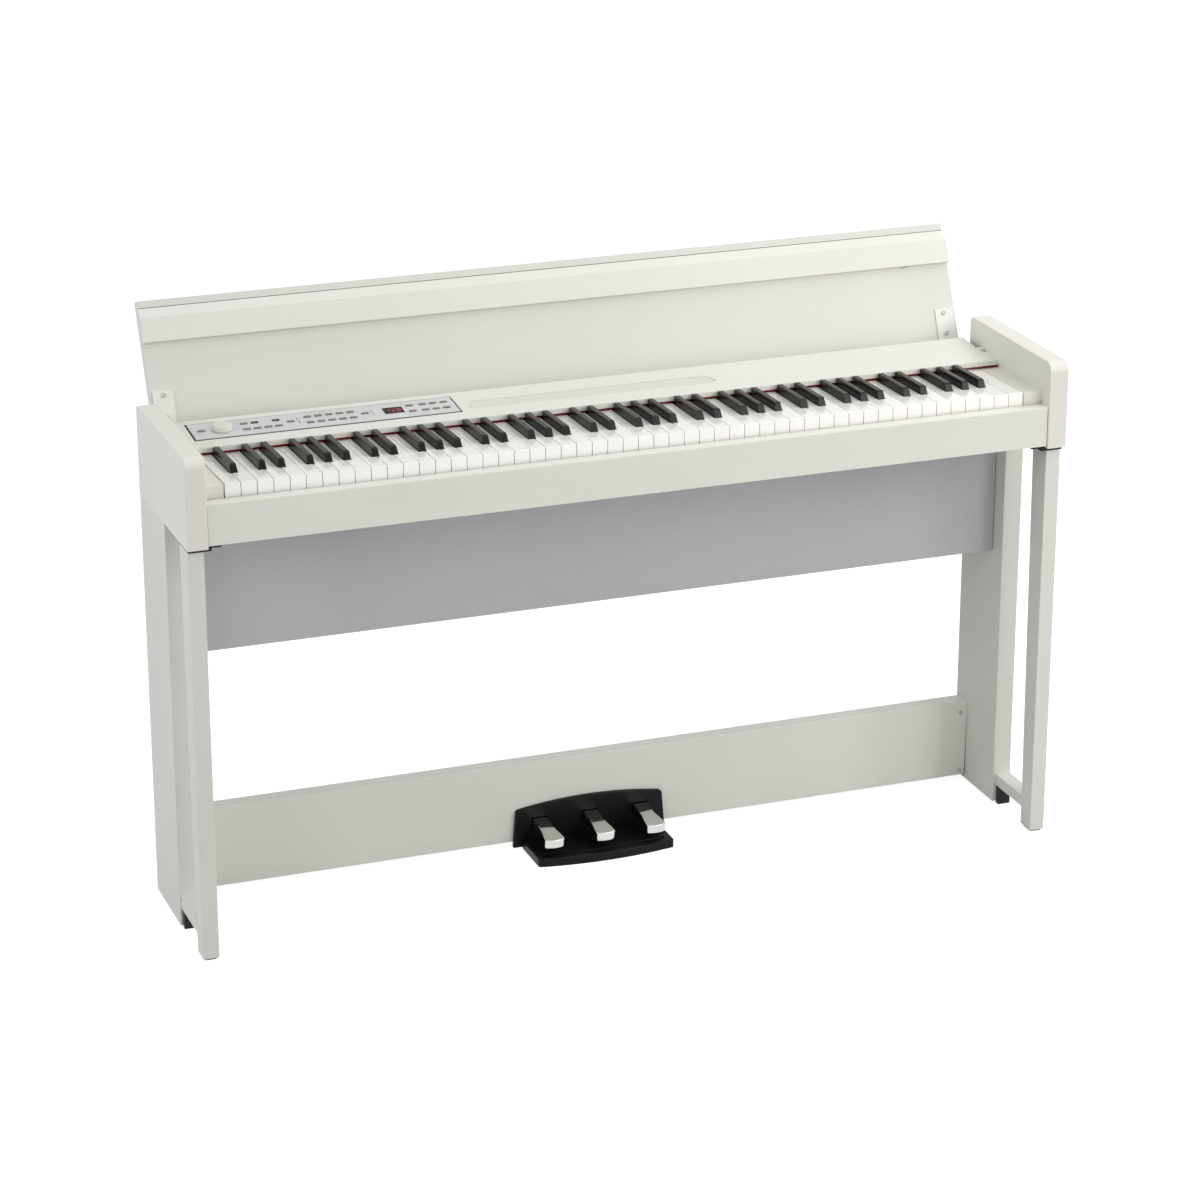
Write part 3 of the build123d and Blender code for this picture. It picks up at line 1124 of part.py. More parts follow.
def assembly():
    right_arm = arm()
    nodes = {
        "left_arm": mirror(right_arm, about=Plane.YZ),
        "right_arm": right_arm,
        "front_rail": front_rail(),
        "keybed": keybed(),
        "rear_panel": rear_panel(),
        "key_end_blocks": group(both_sides(end_block())),
        "top_panel": top_panel(),
        "control_bezel": control_bezel(),
        "control_plate": control_plate(),
        "control_board": control_board(),
        "display_window": display_window(),
        "felt_strip": felt_strip(),
        "volume_knob": volume_knob(),
        "key_pivot_rail": key_pivot_rail(),
        "key_rod": key_rod(),
        "key_stop_rail": key_stop_rail(),
        "key_contact_board": key_contact_board(),
        "speakers": speakers(),
        "socket_panel": socket_panel(),
        "lid_board": lid_board(),
        "lid_lip": lid_lip(),
        "lid_brackets": group(both_sides(lid_bracket())),
        "lid_screws": lid_screws(),
        "hinge_pins": hinge_pins(),
        "side_boards": group(both_sides(side_board())),
        "front_posts": group(both_sides(front_post())),
        "leg_pads": group(both_sides(leg_pad())),
        "glides": glides(),
        "foot_blocks": group(both_sides(foot_block())),
        "knee_panel": knee_panel(),
        "cross_beam": cross_beam(),
        "stand_brackets": stand_brackets(),
        "case_screws": case_screws(),
        "pedal_back_plate": pedal_back_plate(),
        "pedal_base": pedal_base(),
        "pedal_chassis": pedal_chassis(),
        "pedal_rod": pedal_rod(),
        "pedal_left": pedal_at(-PEDAL_SPACING),
        "pedal_middle": pedal_at(0),
        "pedal_right": pedal_at(PEDAL_SPACING),
    }
    for name, places in BUTTON_GROUPS.items():
        nodes[name] = button_group(places)
    nodes.update(key_nodes())
    return nodes


os.makedirs("parts", exist_ok=True)
for node, shape in assembly().items():
    export_step(Pos(0, -DEPTH / 2, 0) * shape, f"parts/{node}.step")
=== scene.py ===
import json
import math

import bmesh
import bpy
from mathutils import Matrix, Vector

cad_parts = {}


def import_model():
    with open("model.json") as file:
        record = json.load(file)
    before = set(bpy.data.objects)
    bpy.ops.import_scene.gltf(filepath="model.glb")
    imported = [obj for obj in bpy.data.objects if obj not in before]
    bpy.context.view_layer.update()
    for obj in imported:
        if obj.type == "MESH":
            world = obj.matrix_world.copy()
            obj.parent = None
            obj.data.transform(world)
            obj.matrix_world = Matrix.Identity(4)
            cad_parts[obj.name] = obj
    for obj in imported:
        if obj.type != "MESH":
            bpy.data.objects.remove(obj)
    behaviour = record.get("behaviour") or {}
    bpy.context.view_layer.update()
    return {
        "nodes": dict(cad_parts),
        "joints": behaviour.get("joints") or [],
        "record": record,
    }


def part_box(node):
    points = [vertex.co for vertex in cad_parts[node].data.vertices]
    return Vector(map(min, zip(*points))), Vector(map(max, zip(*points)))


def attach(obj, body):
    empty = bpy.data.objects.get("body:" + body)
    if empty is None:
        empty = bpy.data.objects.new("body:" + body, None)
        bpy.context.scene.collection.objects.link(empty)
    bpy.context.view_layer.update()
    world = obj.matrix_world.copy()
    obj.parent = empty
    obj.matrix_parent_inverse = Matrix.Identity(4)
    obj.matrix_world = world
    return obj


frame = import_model()
NODES = frame["nodes"]
JOINTS = {j["name"]: j for j in frame["joints"]}
ROOT = "case_and_stand"
SCENE = bpy.context.scene
MM = 0.001

# Inputs of the Principled shader under short names
INPUTS = {
    "colour": "Base Color",
    "metal": "Metallic",
    "rough": "Roughness",
    "specular": "Specular IOR Level",
    "coat": "Coat Weight",
    "coat_rough": "Coat Roughness",
    "sheen": "Sheen Weight",
    "sheen_rough": "Sheen Roughness",
    "glow_strength": "Emission Strength",
}


# Material helpers
def material(name, **values):
    """A Principled material; the values are set on the shader's own inputs."""
    mat = bpy.data.materials.new(name)
    mat.use_nodes = True
    tree = mat.node_tree
    shader = tree.nodes["Principled BSDF"]
    for key, value in values.items():
        if isinstance(value, tuple) and len(value) == 3:
            value = (*value, 1.0)
        shader.inputs[INPUTS[key]].default_value = value
    return mat, tree, shader


def coords(tree, scale):
    """Object coordinates (metres in the row frame), stretched along each axis."""
    place = tree.nodes.new("ShaderNodeTexCoord")
    mapping = tree.nodes.new("ShaderNodeMapping")
    mapping.inputs["Scale"].default_value = scale
    tree.links.new(place.outputs["Object"], mapping.inputs["Vector"])
    return mapping.outputs["Vector"]


def noise(tree, scale, detail=4.0, rough=0.5, distort=0.0):
    """Noise in object coordinates; scale is one number or one per axis, in waves per metre."""
    scale = (scale,) * 3 if not isinstance(scale, tuple) else scale
    tex = tree.nodes.new("ShaderNodeTexNoise")
    tex.inputs["Scale"].default_value = 1.0
    tex.inputs["Detail"].default_value = detail
    tex.inputs["Roughness"].default_value = rough
    tex.inputs["Distortion"].default_value = distort
    tree.links.new(coords(tree, scale), tex.inputs["Vector"])
    return tex.outputs["Fac"]


def maths(tree, operation, a, b):
    node = tree.nodes.new("ShaderNodeMath")
    node.operation = operation
    for socket, value in zip(node.inputs, (a, b)):
        if isinstance(value, (int, float)):
            socket.default_value = value
        else:
            tree.links.new(value, socket)
    return node.outputs[0]


def spread(tree, fac, low, high, start=0.3, end=0.7):
    """A factor mapped to a range of values."""
    node = tree.nodes.new("ShaderNodeMapRange")
    for name, value in (("From Min", start), ("From Max", end), ("To Min", low), ("To Max", high)):
        node.inputs[name].default_value = value
    tree.links.new(fac, node.inputs["Value"])
    return node.outputs["Result"]


def ramp(tree, fac, stops):
    """A factor mapped to colours."""
    node = tree.nodes.new("ShaderNodeValToRGB")
    bar = node.color_ramp.elements
    while len(bar) < len(stops):
        bar.new(0.5)
    for element, (place, colour) in zip(bar, stops):
        element.position = place
        element.color = (*colour, 1.0)
    tree.links.new(fac, node.inputs["Fac"])
    return node.outputs["Color"]


def bump(tree, shader, height, distance, strength=1.0):
    """A bump added on top of any that the shader already has; distance in metres."""
    node = tree.nodes.new("ShaderNodeBump")
    node.inputs["Distance"].default_value = distance
    node.inputs["Strength"].default_value = strength
    tree.links.new(height, node.inputs["Height"])
    if shader.inputs["Normal"].is_linked:
        tree.links.new(shader.inputs["Normal"].links[0].from_socket, node.inputs["Normal"])
    tree.links.new(node.outputs["Normal"], shader.inputs["Normal"])


def shows_background(tree):
    """1 on the rays that show the background: from the camera, off gloss and through glass."""
    path = tree.nodes.new("ShaderNodeLightPath")
    seen = maths(tree, "MAXIMUM", path.outputs["Is Camera Ray"], path.outputs["Is Glossy Ray"])
    return maths(tree, "MAXIMUM", seen, path.outputs["Is Transmission Ray"])


def tint(colour, factor):
    return tuple(min(1.0, c * factor) for c in colour)


def link_colour(tree, shader, fac, colour, low, high, start=0.3, end=0.7):
    stops = [(start, tint(colour, low)), (end, tint(colour, high))]
    tree.links.new(ramp(tree, fac, stops), shader.inputs["Base Color"])


def laminate(name, colour, grain, gloss=0.22):
    """Satin laminate: a faint pressed grain along one axis over a slow change of tone."""
    mat, tree, shader = material(name, specular=gloss)
    across, along, fine_share = 420.0, 9.0, 0.35
    scale = tuple(along if axis == grain else across for axis in "xyz")
    fine = noise(tree, scale, detail=5.0, rough=0.6, distort=0.2)
    slow = noise(tree, 3.2, detail=2.0)
    fine_part = maths(tree, "MULTIPLY", fine, fine_share)
    slow_part = maths(tree, "MULTIPLY", slow, 1.0 - fine_share)
    link_colour(tree, shader, maths(tree, "ADD", fine_part, slow_part), colour, 0.965, 1.02)
    tree.links.new(spread(tree, fine, 0.34, 0.47), shader.inputs["Roughness"])
    bump(tree, shader, fine, 0.00006, 0.35)
    return mat


def plastic(
    name, colour, rough=(0.3, 0.45), grain=1500.0, depth=0.00004, strength=0.4, tone=(0.9, 1.1), **values
):
    """Moulded plastic with a fine grain."""
    mat, tree, shader = material(name, **values)
    fine = noise(tree, grain, detail=3.0, rough=0.6)
    slow = noise(tree, 18.0, detail=3.0)
    link_colour(tree, shader, slow, colour, *tone)
    tree.links.new(spread(tree, slow, *rough), shader.inputs["Roughness"])
    bump(tree, shader, fine, depth, strength)
    return mat


def key_plastic(name, colour, rough, tone, **values):
    """Polished key plastic, with fine polishing marks along the key."""
    mat, tree, shader = material(name, **values)
    marks = noise(tree, (1400.0, 60.0, 1400.0), detail=3.0)
    slow = noise(tree, 40.0, detail=2.0)
    link_colour(tree, shader, slow, colour, *tone)
    tree.links.new(spread(tree, marks, *rough), shader.inputs["Roughness"])
    bump(tree, shader, marks, 0.00002, 0.25)
    return mat


def metal(name, colour, rough, scale, metal_share=1.0, strength=0.3, tone=(0.92, 1.05), **values):
    """Metal with brushing or polish marks; scale stretches the marks."""
    mat, tree, shader = material(name, metal=metal_share, **values)
    marks = noise(tree, scale, detail=4.0, rough=0.6)
    slow = noise(tree, 25.0, detail=2.0)
    link_colour(tree, shader, slow, colour, *tone)
    tree.links.new(spread(tree, marks, *rough), shader.inputs["Roughness"])
    bump(tree, shader, marks, 0.00002, strength)
    return mat


def felt(name, colour):
    """Pressed felt with a fibrous surface."""
    mat, tree, shader = material(name, rough=0.95, specular=0.1, sheen=0.08, sheen_rough=0.4)
    fibres = noise(tree, (900.0, 1600.0, 1600.0), detail=5.0, rough=0.7, distort=1.5)
    link_colour(tree, shader, fibres, colour, 0.6, 1.35)
    bump(tree, shader, fibres, 0.0004, 0.8)
    return mat


def board_green(name):
    """Circuit board lacquer with faint tracks."""
    mat, tree, shader = material(name, specular=0.5)
    tracks = tree.nodes.new("ShaderNodeTexBrick")
    tracks.inputs["Scale"].default_value = 1.0
    tracks.inputs["Mortar Size"].default_value = 0.05
    tracks.inputs["Color1"].default_value = (0.03, 0.15, 0.07, 1.0)
    tracks.inputs["Color2"].default_value = (0.025, 0.12, 0.055, 1.0)
    tracks.inputs["Mortar"].default_value = (0.06, 0.24, 0.10, 1.0)
    tree.links.new(coords(tree, (160.0, 220.0, 160.0)), tracks.inputs["Vector"])
    tree.links.new(tracks.outputs["Color"], shader.inputs["Base Color"])
    tree.links.new(spread(tree, noise(tree, 300.0), 0.25, 0.4), shader.inputs["Roughness"])
    bump(tree, shader, tracks.outputs["Fac"], 0.00005, 0.4)
    return mat


def glow(name, colour, strength):
    """A lit display segment, a little uneven from edge to edge."""
    mat, tree, shader = material(name, rough=0.4, glow_strength=strength)
    slow = noise(tree, 900.0, detail=1.0)
    link_colour(tree, shader, slow, colour, 0.5, 0.7)
    tree.links.new(
        ramp(tree, slow, [(0.3, tint(colour, 0.85)), (0.7, colour)]), shader.inputs["Emission Color"]
    )
    return mat


def perforated(name, colour):
    """Black speaker cloth: a fine regular weave of dark holes."""
    mat, tree, shader = material(name, rough=0.7, specular=0.3)
    cells = tree.nodes.new("ShaderNodeTexVoronoi")
    cells.inputs["Scale"].default_value = 1.0
    cells.inputs["Randomness"].default_value = 0.0
    tree.links.new(coords(tree, (420.0, 420.0, 420.0)), cells.inputs["Vector"])
    holes = cells.outputs["Distance"]
    link_colour(tree, shader, holes, colour, 0.25, 1.3, 0.25, 0.5)
    bump(tree, shader, holes, 0.0004, 0.7)
    return mat


WHITE = (0.78, 0.778, 0.73)
MATERIALS = {
    "laminate_x": laminate("white_laminate_along", WHITE, "x"),
    "laminate_y": laminate("white_laminate_deep", (0.785, 0.772, 0.718), "y"),
    # Painted shade: the upright boards wear the same white darkened to 0.95
    "laminate_z": laminate("white_laminate_upright_painted_shade", tint(WHITE, 0.95), "z", gloss=0.1),
    # Painted shade: the lid board wears the same white darkened to 0.92
    "laminate_lid": laminate("white_laminate_lid_painted_shade", tint(WHITE, 0.92), "x"),
    "grey_laminate": laminate("grey_laminate", (0.50, 0.505, 0.52), "x"),
    "black_plastic": plastic("black_plastic", (0.010, 0.010, 0.010), rough=(0.38, 0.55), specular=0.25),
    "silver_plate": metal(
        "silver_plate",
        (0.64, 0.65, 0.655),
        rough=(0.34, 0.5),
        scale=(14.0, 1600.0, 1600.0),
        metal_share=0.4,
        strength=0.15,
    ),
    "circuit_board": board_green("circuit_board"),
    "display_lens": plastic(
        "display_lens",
        (0.010, 0.006, 0.006),
        rough=(0.1, 0.16),
        depth=0.00001,
        strength=0.1,
        specular=0.14,
    ),
    "red_felt": felt("red_felt", (0.27, 0.004, 0.01)),
    "dark_felt": felt("dark_felt", (0.03, 0.03, 0.032)),
    "cream_plastic": plastic("cream_plastic", (0.70, 0.685, 0.62), rough=(0.35, 0.5), tone=(0.97, 1.02)),
    "grey_plastic": plastic("grey_plastic", (0.20, 0.20, 0.20)),
    "button_plastic": plastic("button_plastic", (0.21, 0.195, 0.175), rough=(0.3, 0.42), tone=(0.93, 1.07)),
    "dark_button": plastic("dark_button", (0.05, 0.046, 0.042), rough=(0.3, 0.42), tone=(0.93, 1.07)),
    "plain_steel": metal("plain_steel", (0.56, 0.56, 0.56), rough=(0.22, 0.38), scale=(8.0, 900.0, 900.0)),
    "bracket_metal": plastic(
        "bracket_metal", (0.42, 0.42, 0.40), rough=(0.4, 0.55), grain=700.0, tone=(0.95, 1.04)
    ),
    "bracket_white": plastic(
        "bracket_white", (0.80, 0.798, 0.755), rough=(0.36, 0.48), grain=700.0, tone=(0.97, 1.02)
    ),
    "screw_metal": metal("screw_metal", (0.43, 0.425, 0.41), rough=(0.42, 0.55), scale=1200.0),
    "black_metal": plastic("black_metal", (0.022, 0.022, 0.023), rough=(0.4, 0.55), grain=900.0),
    "black_rubber": plastic(
        "black_rubber", (0.018, 0.018, 0.018), rough=(0.6, 0.75), grain=900.0, specular=0.3
    ),
    "black_satin": plastic(
        "black_satin", (0.005, 0.005, 0.005), rough=(0.32, 0.42), grain=1300.0, specular=0.14
    ),
    "pedal_chrome": metal(
        "pedal_chrome", (0.60, 0.60, 0.585), rough=(0.05, 0.11), scale=(700.0, 40.0, 700.0), strength=0.06
    ),
    "key_white": key_plastic(
        "key_white",
        (0.98, 0.97, 0.94),
        rough=(0.06, 0.12),
        tone=(0.985, 1.01),
        specular=0.5,
        coat=0.5,
        coat_rough=0.03,
    ),
    "key_black": key_plastic(
        "key_black", (0.004, 0.003, 0.002), rough=(0.2, 0.28), tone=(0.85, 1.15), specular=0.22
    ),
    "red_glow": glow("display_red", (0.62, 0.02, 0.075), 1.0),
    "led_lens": plastic("led_lens", (0.035, 0.03, 0.028), rough=(0.2, 0.3), depth=0.00001),
    # Painted shade: the floor and walls of the book groove are darkened to 0.90, as the shade in the recess
    "groove_painted_shade": laminate("groove_painted_shade", tint(WHITE, 0.90), "x"),
    # Painted shadow: dark strips laid along joints that have no gap of their own
    "painted_gap_shadow": plastic("seam_shadow", (0.12, 0.118, 0.108), rough=(0.7, 0.85)),
    "speaker_cloth": perforated("speaker_cloth", (0.03, 0.03, 0.03)),
}
# Which white laminate a node wears, where it isn't laminate_x; the upright and lid kinds are darker copies
# of the one white, painted shade
WHITE_KIND = {
    "left_arm": "y",
    "right_arm": "y",
    "key_end_blocks": "y",
    "side_boards": "z",
    "front_posts": "z",
    "lid_board": "lid",
}


def dress(obj, mat):
    obj.data.materials.clear()
    obj.data.materials.append(mat)


for part in frame["record"]["subparts"]:
    node, slot = part["node"], part["material_slot"]
    if slot == "white_laminate":
        dress(NODES[node], MATERIALS["laminate_" + WHITE_KIND.get(node, "x")])
    else:
        dress(NODES[node], MATERIALS[slot])


# Mesh helpers
def piece(name, verts, faces, mat, body=ROOT, slot=None, smooth=0.0):
    """A mesh riding on a body; edges flatter than the smooth angle shade as one surface."""
    mesh = bpy.data.meshes.new(name)
    mesh.from_pydata([tuple(v) for v in verts], [], faces)
    work = bmesh.new()
    work.from_mesh(mesh)
    bmesh.ops.recalc_face_normals(work, faces=work.faces)
    work.to_mesh(mesh)
    work.free()
    obj = bpy.data.objects.new(name, mesh)
    SCENE.collection.objects.link(obj)
    dress(obj, mat)
    if smooth:
        mesh.polygons.foreach_set("use_smooth", [True] * len(mesh.polygons))
        mesh.set_sharp_from_angle(angle=math.radians(smooth))
    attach(obj, body)
    return obj


def prism(outline, low, high, place):
    """Verts and faces of a flat outline run from low to high; place turns (u, v, w) into a point."""
    n = len(outline)
    verts = [place(u, v, w) for w in (low, high) for u, v in outline]
    faces = [[i, (i + 1) % n, n + (i + 1) % n, n + i] for i in range(n)]
    return verts, faces + [list(range(n - 1, -1, -1)), list(range(n, 2 * n))]


def lathe(profile, steps, place):
    """Verts and faces of a profile (radius, height) turned about w; closed where the radius is 0."""
    verts, rings, faces = [], [], []
    for radius, height in profile:
        if radius == 0:
            verts.append(place(0.0, 0.0, height))
            rings.append([len(verts) - 1] * steps)
            continue
        ring = []
        for i in range(steps):
            a = 2 * math.pi * i / steps
            verts.append(place(radius * math.cos(a), radius * math.sin(a), height))
            ring.append(len(verts) - 1)
        rings.append(ring)
    for low, high in zip(rings, rings[1:]):
        for i in range(steps):
            j = (i + 1) % steps
            faces.append(list(dict.fromkeys([low[i], low[j], high[j], high[i]])))
    return verts, faces


def rectangle(u0, u1, v0, v1):
    return [(u0, v0), (u1, v0), (u1, v1), (u0, v1)]


def joined(parts):
    """Several (verts, faces) pairs as one."""
    verts, faces = [], []
    for v, f in parts:
        base = len(verts)
        verts += v
        faces += [[base + i for i in face] for face in f]
    return verts, faces


# The slope of the top panel, taken from the axis of the volume control
KNOB = JOINTS["volume_turn"]
KNOB_AT = Vector(KNOB["pos_m"])
PANEL_UP = Vector(KNOB["axis"]).normalized()
PANEL_BACK = PANEL_UP.cross(Vector((1, 0, 0)))


def on_panel(x):
    """Places (u along x, v up the slope, w off the face) about a place on the knob's row."""
    start = Vector((x, KNOB_AT.y, KNOB_AT.z))
    return lambda u, v, w: start + Vector((u, 0, 0)) + PANEL_BACK * v + PANEL_UP * w


SEGMENTS = {"0": "abcdef", "1": "bc", "2": "abged"}


def digit(char, width, height, bar):
    """Outlines of the lit bars of one seven-bar digit, its lower left corner at 0, 0."""
    half = height / 2
    gap = bar * 0.18
    x0, x1 = bar / 2, width - bar / 2
    spans = {
        "a": ((x0, height - bar / 2), (x1, height - bar / 2)),
        "b": ((x1, half), (x1, height - bar / 2)),
        "c": ((x1, bar / 2), (x1, half)),
        "d": ((x0, bar / 2), (x1, bar / 2)),
        "e": ((x0, bar / 2), (x0, half)),
        "f": ((x0, half), (x0, height - bar / 2)),
        "g": ((x0, half), (x1, half)),
    }
    for key in SEGMENTS[char]:
        a, b = (Vector(p) for p in spans[key])
        along = (b - a).normalized()
        side = Vector((-along.y, along.x)) * bar / 2
        a, b = a + along * gap, b - along * gap
        tip = along * bar / 2
        yield [a, a + tip - side, b - tip - side, b, b - tip + side, a + tip + side]


def display():
    """Lit digits behind the lens of the display, leaning slightly."""
    low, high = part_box("display_window")
    place = on_panel((low.x + high.x) / 2)
    width, height, bar, lean = 4.6 * MM, 10.5 * MM, 0.85 * MM, 0.12
    start, pitch = -11.5 * MM, 8.4 * MM
    top, thick = 1.16 * MM, 0.2 * MM
    shapes = []
    for i, char in enumerate("120"):
        x0 = start + pitch * i
        for outline in digit(char, width, height, bar):
            flat = [(x0 + p.x + lean * p.y, p.y - height / 2) for p in outline]
            shapes.append(prism(flat, top - thick, top, place))
    piece("display_digits", *joined(shapes), MATERIALS["red_glow"])


def small_lamps():
    """Two short columns of unlit indicator lenses beside the select buttons."""
    dome = [(0, 0.2), (1.3, 0.2), (1.3, 1.0), (1.0, 1.25), (0.55, 1.38), (0, 1.42)]
    dome = [(r * MM, w * MM) for r, w in dome]
    rows, pitch, drift, steps = 3, 7.0 * MM, 0.4 * MM, 20
    shapes = []
    for x, first in ((-446.6 * MM, 8.0 * MM), (-335.4 * MM, 7.0 * MM)):
        for row in range(rows):
            column = on_panel(x + drift * row)
            v = first - pitch * row
            shapes.append(lathe(dome, steps, lambda a, b, w, c=column, d=v: c(a, b + d, w)))
    piece("indicator_lenses", *joined(shapes), MATERIALS["led_lens"], smooth=50)


def sockets():
    """Metal bushes in the sockets on the back of the case."""
    low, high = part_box("socket_panel")
    middle = (low.z + high.z) / 2
    # Radius and depth behind the back face: from the barrel over the flange into the bore
    ring = [(4.45, 0.4), (6.3, 0.4), (6.3, -1.0), (5.6, -1.4), (4.4, -1.4), (3.6, -0.6), (3.6, 4.6)]
    ring += [(4.45, 4.6), (4.45, 0.4)]
    ring = [(r * MM, y * MM) for r, y in ring]
    shapes = []
    for opening in frame["record"]["physics"]["openings"]:
        if opening["name"].startswith("socket_"):
            x = (opening["box_m"][0][0] + opening["box_m"][1][0]) / 2
            place = lambda u, v, w, x=x: Vector((x + u, high.y - w, middle + v))
            shapes.append(lathe(ring, 40, place))
    piece("socket_bushes", *joined(shapes), MATERIALS["plain_steel"], ROOT, "plain_steel", 40)


def speaker_cloths():
    """Domed black cloth seen through the speaker openings from below."""
    low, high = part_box("speakers")
    bed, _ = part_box("keybed")
    y = (low.y + high.y) / 2
    half_long, half_wide = 51.6 * MM, 28.6 * MM
    stretch = (half_long - half_wide) / half_wide
    face, dome, top = 2.0 * MM, 2.6 * MM, 8.0 * MM
    rings, steps, from_end = 7, 64, 60 * MM
    profile = [(half_wide * r / rings, face + dome * (r / rings) ** 2) for r in range(rings + 1)]
    profile += [(half_wide, top), (0, top)]
    shapes = []
    for x in (low.x + from_end, high.x - from_end):

        def place(u, v, w, x=x):
            return Vector((x + u + math.copysign(math.hypot(u, v) * stretch, u), y + v, bed.z + w))

        shapes.append(lathe(profile, steps, place))
    piece("speaker_cloths", *joined(shapes), MATERIALS["speaker_cloth"], smooth=40)


def repaint(node, mat, chosen):
    """A second material on the faces of a node whose middle passes the test."""
    obj = NODES[node]
    obj.data.materials.append(mat)
    for face in obj.data.polygons:
        if chosen(obj.matrix_world @ face.center):
            face.material_index = len(obj.data.materials) - 1


def in_groove(place):
    """Whether a place is in the shallow book groove: below the panel face, right of the plate."""
    half_long, half_wide, shallow, deep = 206 * MM, 28 * MM, 0.05 * MM, 3.2 * MM
    off = place - Vector((place.x, KNOB_AT.y, KNOB_AT.z))
    level, back = off.dot(PANEL_UP), off.dot(PANEL_BACK)
    return abs(place.x) < half_long and -deep < level < -shallow and abs(back) < half_wide


def dark_buttons():
    """The two buttons of the effect row that are darker than the rest."""
    low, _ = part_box("effect_buttons")
    first_button = 14 * MM
    repaint("effect_buttons", MATERIALS["dark_button"], lambda place: place.x > low.x + first_button)


def rail_shadow_strips():
    """A dark strip where the front rail meets each arm: painted shadow of a joint gap."""
    low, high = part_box("front_rail")
    proud, deep, width = 0.15 * MM, 1.0 * MM, 0.7 * MM
    bottom, top = low.z + 0.3 * MM, high.z - 3.0 * MM
    shapes = []
    for end, inner in ((low.x, low.x + width), (high.x, high.x - width)):
        outline = rectangle(end, inner, low.y - proud, low.y + deep)
        shapes.append(prism(outline, bottom, top, lambda u, v, w: Vector((u, v, w))))
    piece("rail_shadow_strips", *joined(shapes), MATERIALS["painted_gap_shadow"])


def on_lid(start):
    """Places (u along x, v out of the open lid, w up the lid) about a place on the lid."""
    lean = math.radians(JOINTS["lid_hinge"]["range_deg"][1] - 90)
    up = Vector((0, math.sin(lean), math.cos(lean)))
    out = Vector((0, -math.cos(lean), math.sin(lean)))
    return lambda u, v, w: start + Vector((u, 0, 0)) + out * v + up * w


def lip_shadow_strip():
    """A dark strip where the slope of the lip runs into the lid board: painted shadow of the crease."""
    low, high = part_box("lid_lip")
    place = on_lid(Vector((0, high.y, high.z)))
    sunk, proud, below, above = 0.6 * MM, 0.25 * MM, 0.5 * MM, 0.6 * MM
    outline = rectangle(low.x, high.x, -sunk, proud)
    piece("lip_shadow_strip", *prism(outline, -below, above, place), MATERIALS["painted_gap_shadow"], "lid")


def lid_bumper():
    """The small bumper under the lip of the lid, near its right end."""
    low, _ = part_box("lid_lip")
    x, from_front = 566 * MM, 7.2 * MM
    half, near, far, below, above = 5 * MM, 2.2 * MM, 6.4 * MM, 0.9 * MM, 0.8 * MM
    place = on_lid(Vector((x, low.y + from_front, low.z)))
    outline = rectangle(-half, half, near, far)
    piece("lid_bumper", *prism(outline, -below, above, place), MATERIALS["grey_plastic"], "lid")


display()
small_lamps()
# Painted shade in the book groove: its faces get the darker laminate
repaint("top_panel", MATERIALS["groove_painted_shade"], in_groove)
dark_buttons()
rail_shadow_strips()
lip_shadow_strip()
lid_bumper()
sockets()
speaker_cloths()


# Stage, light and camera
def floor():
    """A plane that keeps the shadow, white where it is seen."""
    grey, shown, half, drop = 0.48, 0.85, 40.0, 0.5 * MM
    mat, tree, shader = material("studio_floor", colour=(grey, grey, grey), rough=0.9, specular=0.1)
    shader.inputs["Emission Color"].default_value = (1.0, 1.0, 1.0, 1.0)
    strength = maths(tree, "MULTIPLY", shows_background(tree), shown)
    tree.links.new(strength, shader.inputs["Emission Strength"])
    mesh = bpy.data.meshes.new("studio_floor")
    corners = [(u, v, 0) for u, v in rectangle(-half, half, -half, half)]
    mesh.from_pydata(corners, [], [(0, 1, 2, 3)])
    obj = bpy.data.objects.new("studio_floor", mesh)
    obj.location.z = -drop
    SCENE.collection.objects.link(obj)
    dress(obj, mat)


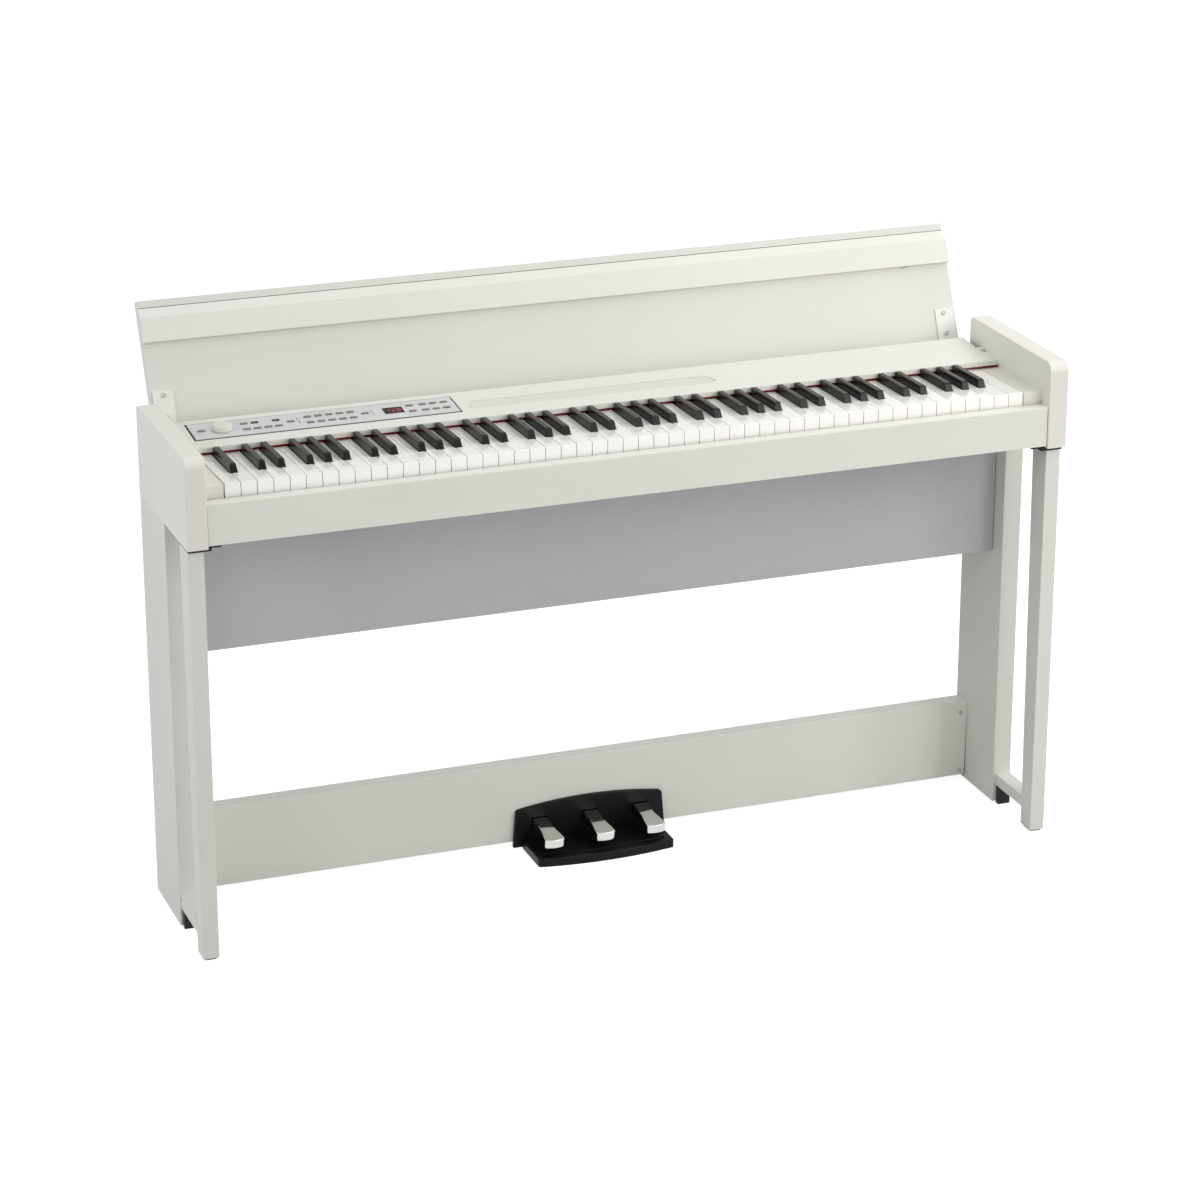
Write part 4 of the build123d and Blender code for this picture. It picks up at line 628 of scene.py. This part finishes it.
def world():
    """Even pale surroundings, white where they are seen."""
    surround = bpy.data.worlds.new("studio")
    SCENE.world = surround
    surround.use_nodes = True
    tree = surround.node_tree
    background = tree.nodes["Background"]
    background.inputs["Color"].default_value = (1.0, 1.0, 1.0, 1.0)
    lit, shown = 0.41, 1.0
    strength = spread(tree, shows_background(tree), lit, shown, 0.0, 1.0)
    tree.links.new(strength, background.inputs["Strength"])


def lamp(name, place, target, size, power, colour):
    """A soft box: place, target and size in metres, power in watts."""
    data = bpy.data.lights.new(name, "AREA")
    data.shape = "RECTANGLE"
    data.size, data.size_y = size
    data.energy = power
    data.color = colour
    obj = bpy.data.objects.new(name, data)
    obj.location = place
    obj.rotation_mode = "QUATERNION"
    obj.rotation_quaternion = (Vector(target) - Vector(place)).to_track_quat("-Z", "Y")
    SCENE.collection.objects.link(obj)


def camera():
    """The photograph's viewpoint: left of the keyboard, above the lid, with a long lens."""
    yaw, pitch = math.radians(20.39), math.radians(20.33)
    viewpoint = (-1.83606, -4.95494, 2.36004)
    focal_pixels, image_width = 3757.07, 1200.0
    data = bpy.data.cameras.new("camera")
    data.sensor_width = 36.0
    data.lens = focal_pixels / image_width * data.sensor_width
    data.clip_end = 200.0
    obj = bpy.data.objects.new("camera", data)
    obj.location = viewpoint
    level = math.cos(pitch)
    forward = Vector((math.sin(yaw) * level, math.cos(yaw) * level, -math.sin(pitch)))
    obj.rotation_mode = "QUATERNION"
    obj.rotation_quaternion = forward.to_track_quat("-Z", "Y")
    SCENE.collection.objects.link(obj)
    SCENE.camera = obj


floor()
world()
lamp("overhead", (0.9, 0.6, 3.0), (0.5, 0, 0.5), (3.0, 2.0), 21.0, (1.0, 1.0, 1.0))
lamp("front_right", (1.9, -2.6, 2.0), (0.5, 0, 0.6), (1.6, 1.4), 34.5, (1.0, 0.985, 0.955))
lamp("left", (-3.4, -0.6, 1.9), (0, 0, 0.6), (2.0, 1.8), 39.0, (0.95, 1.0, 1.03))
lamp("right_high", (2.4, -0.6, 2.6), (0.7, 0, 0.7), (1.4, 1.4), 21.0, (1.0, 0.99, 0.97))
lamp("low_front", (0.6, -3.6, 0.9), (0.2, 0, 0.4), (2.0, 1.2), 20.0, (1.0, 0.985, 0.955))
camera()
SCENE.view_settings.view_transform = "Standard"
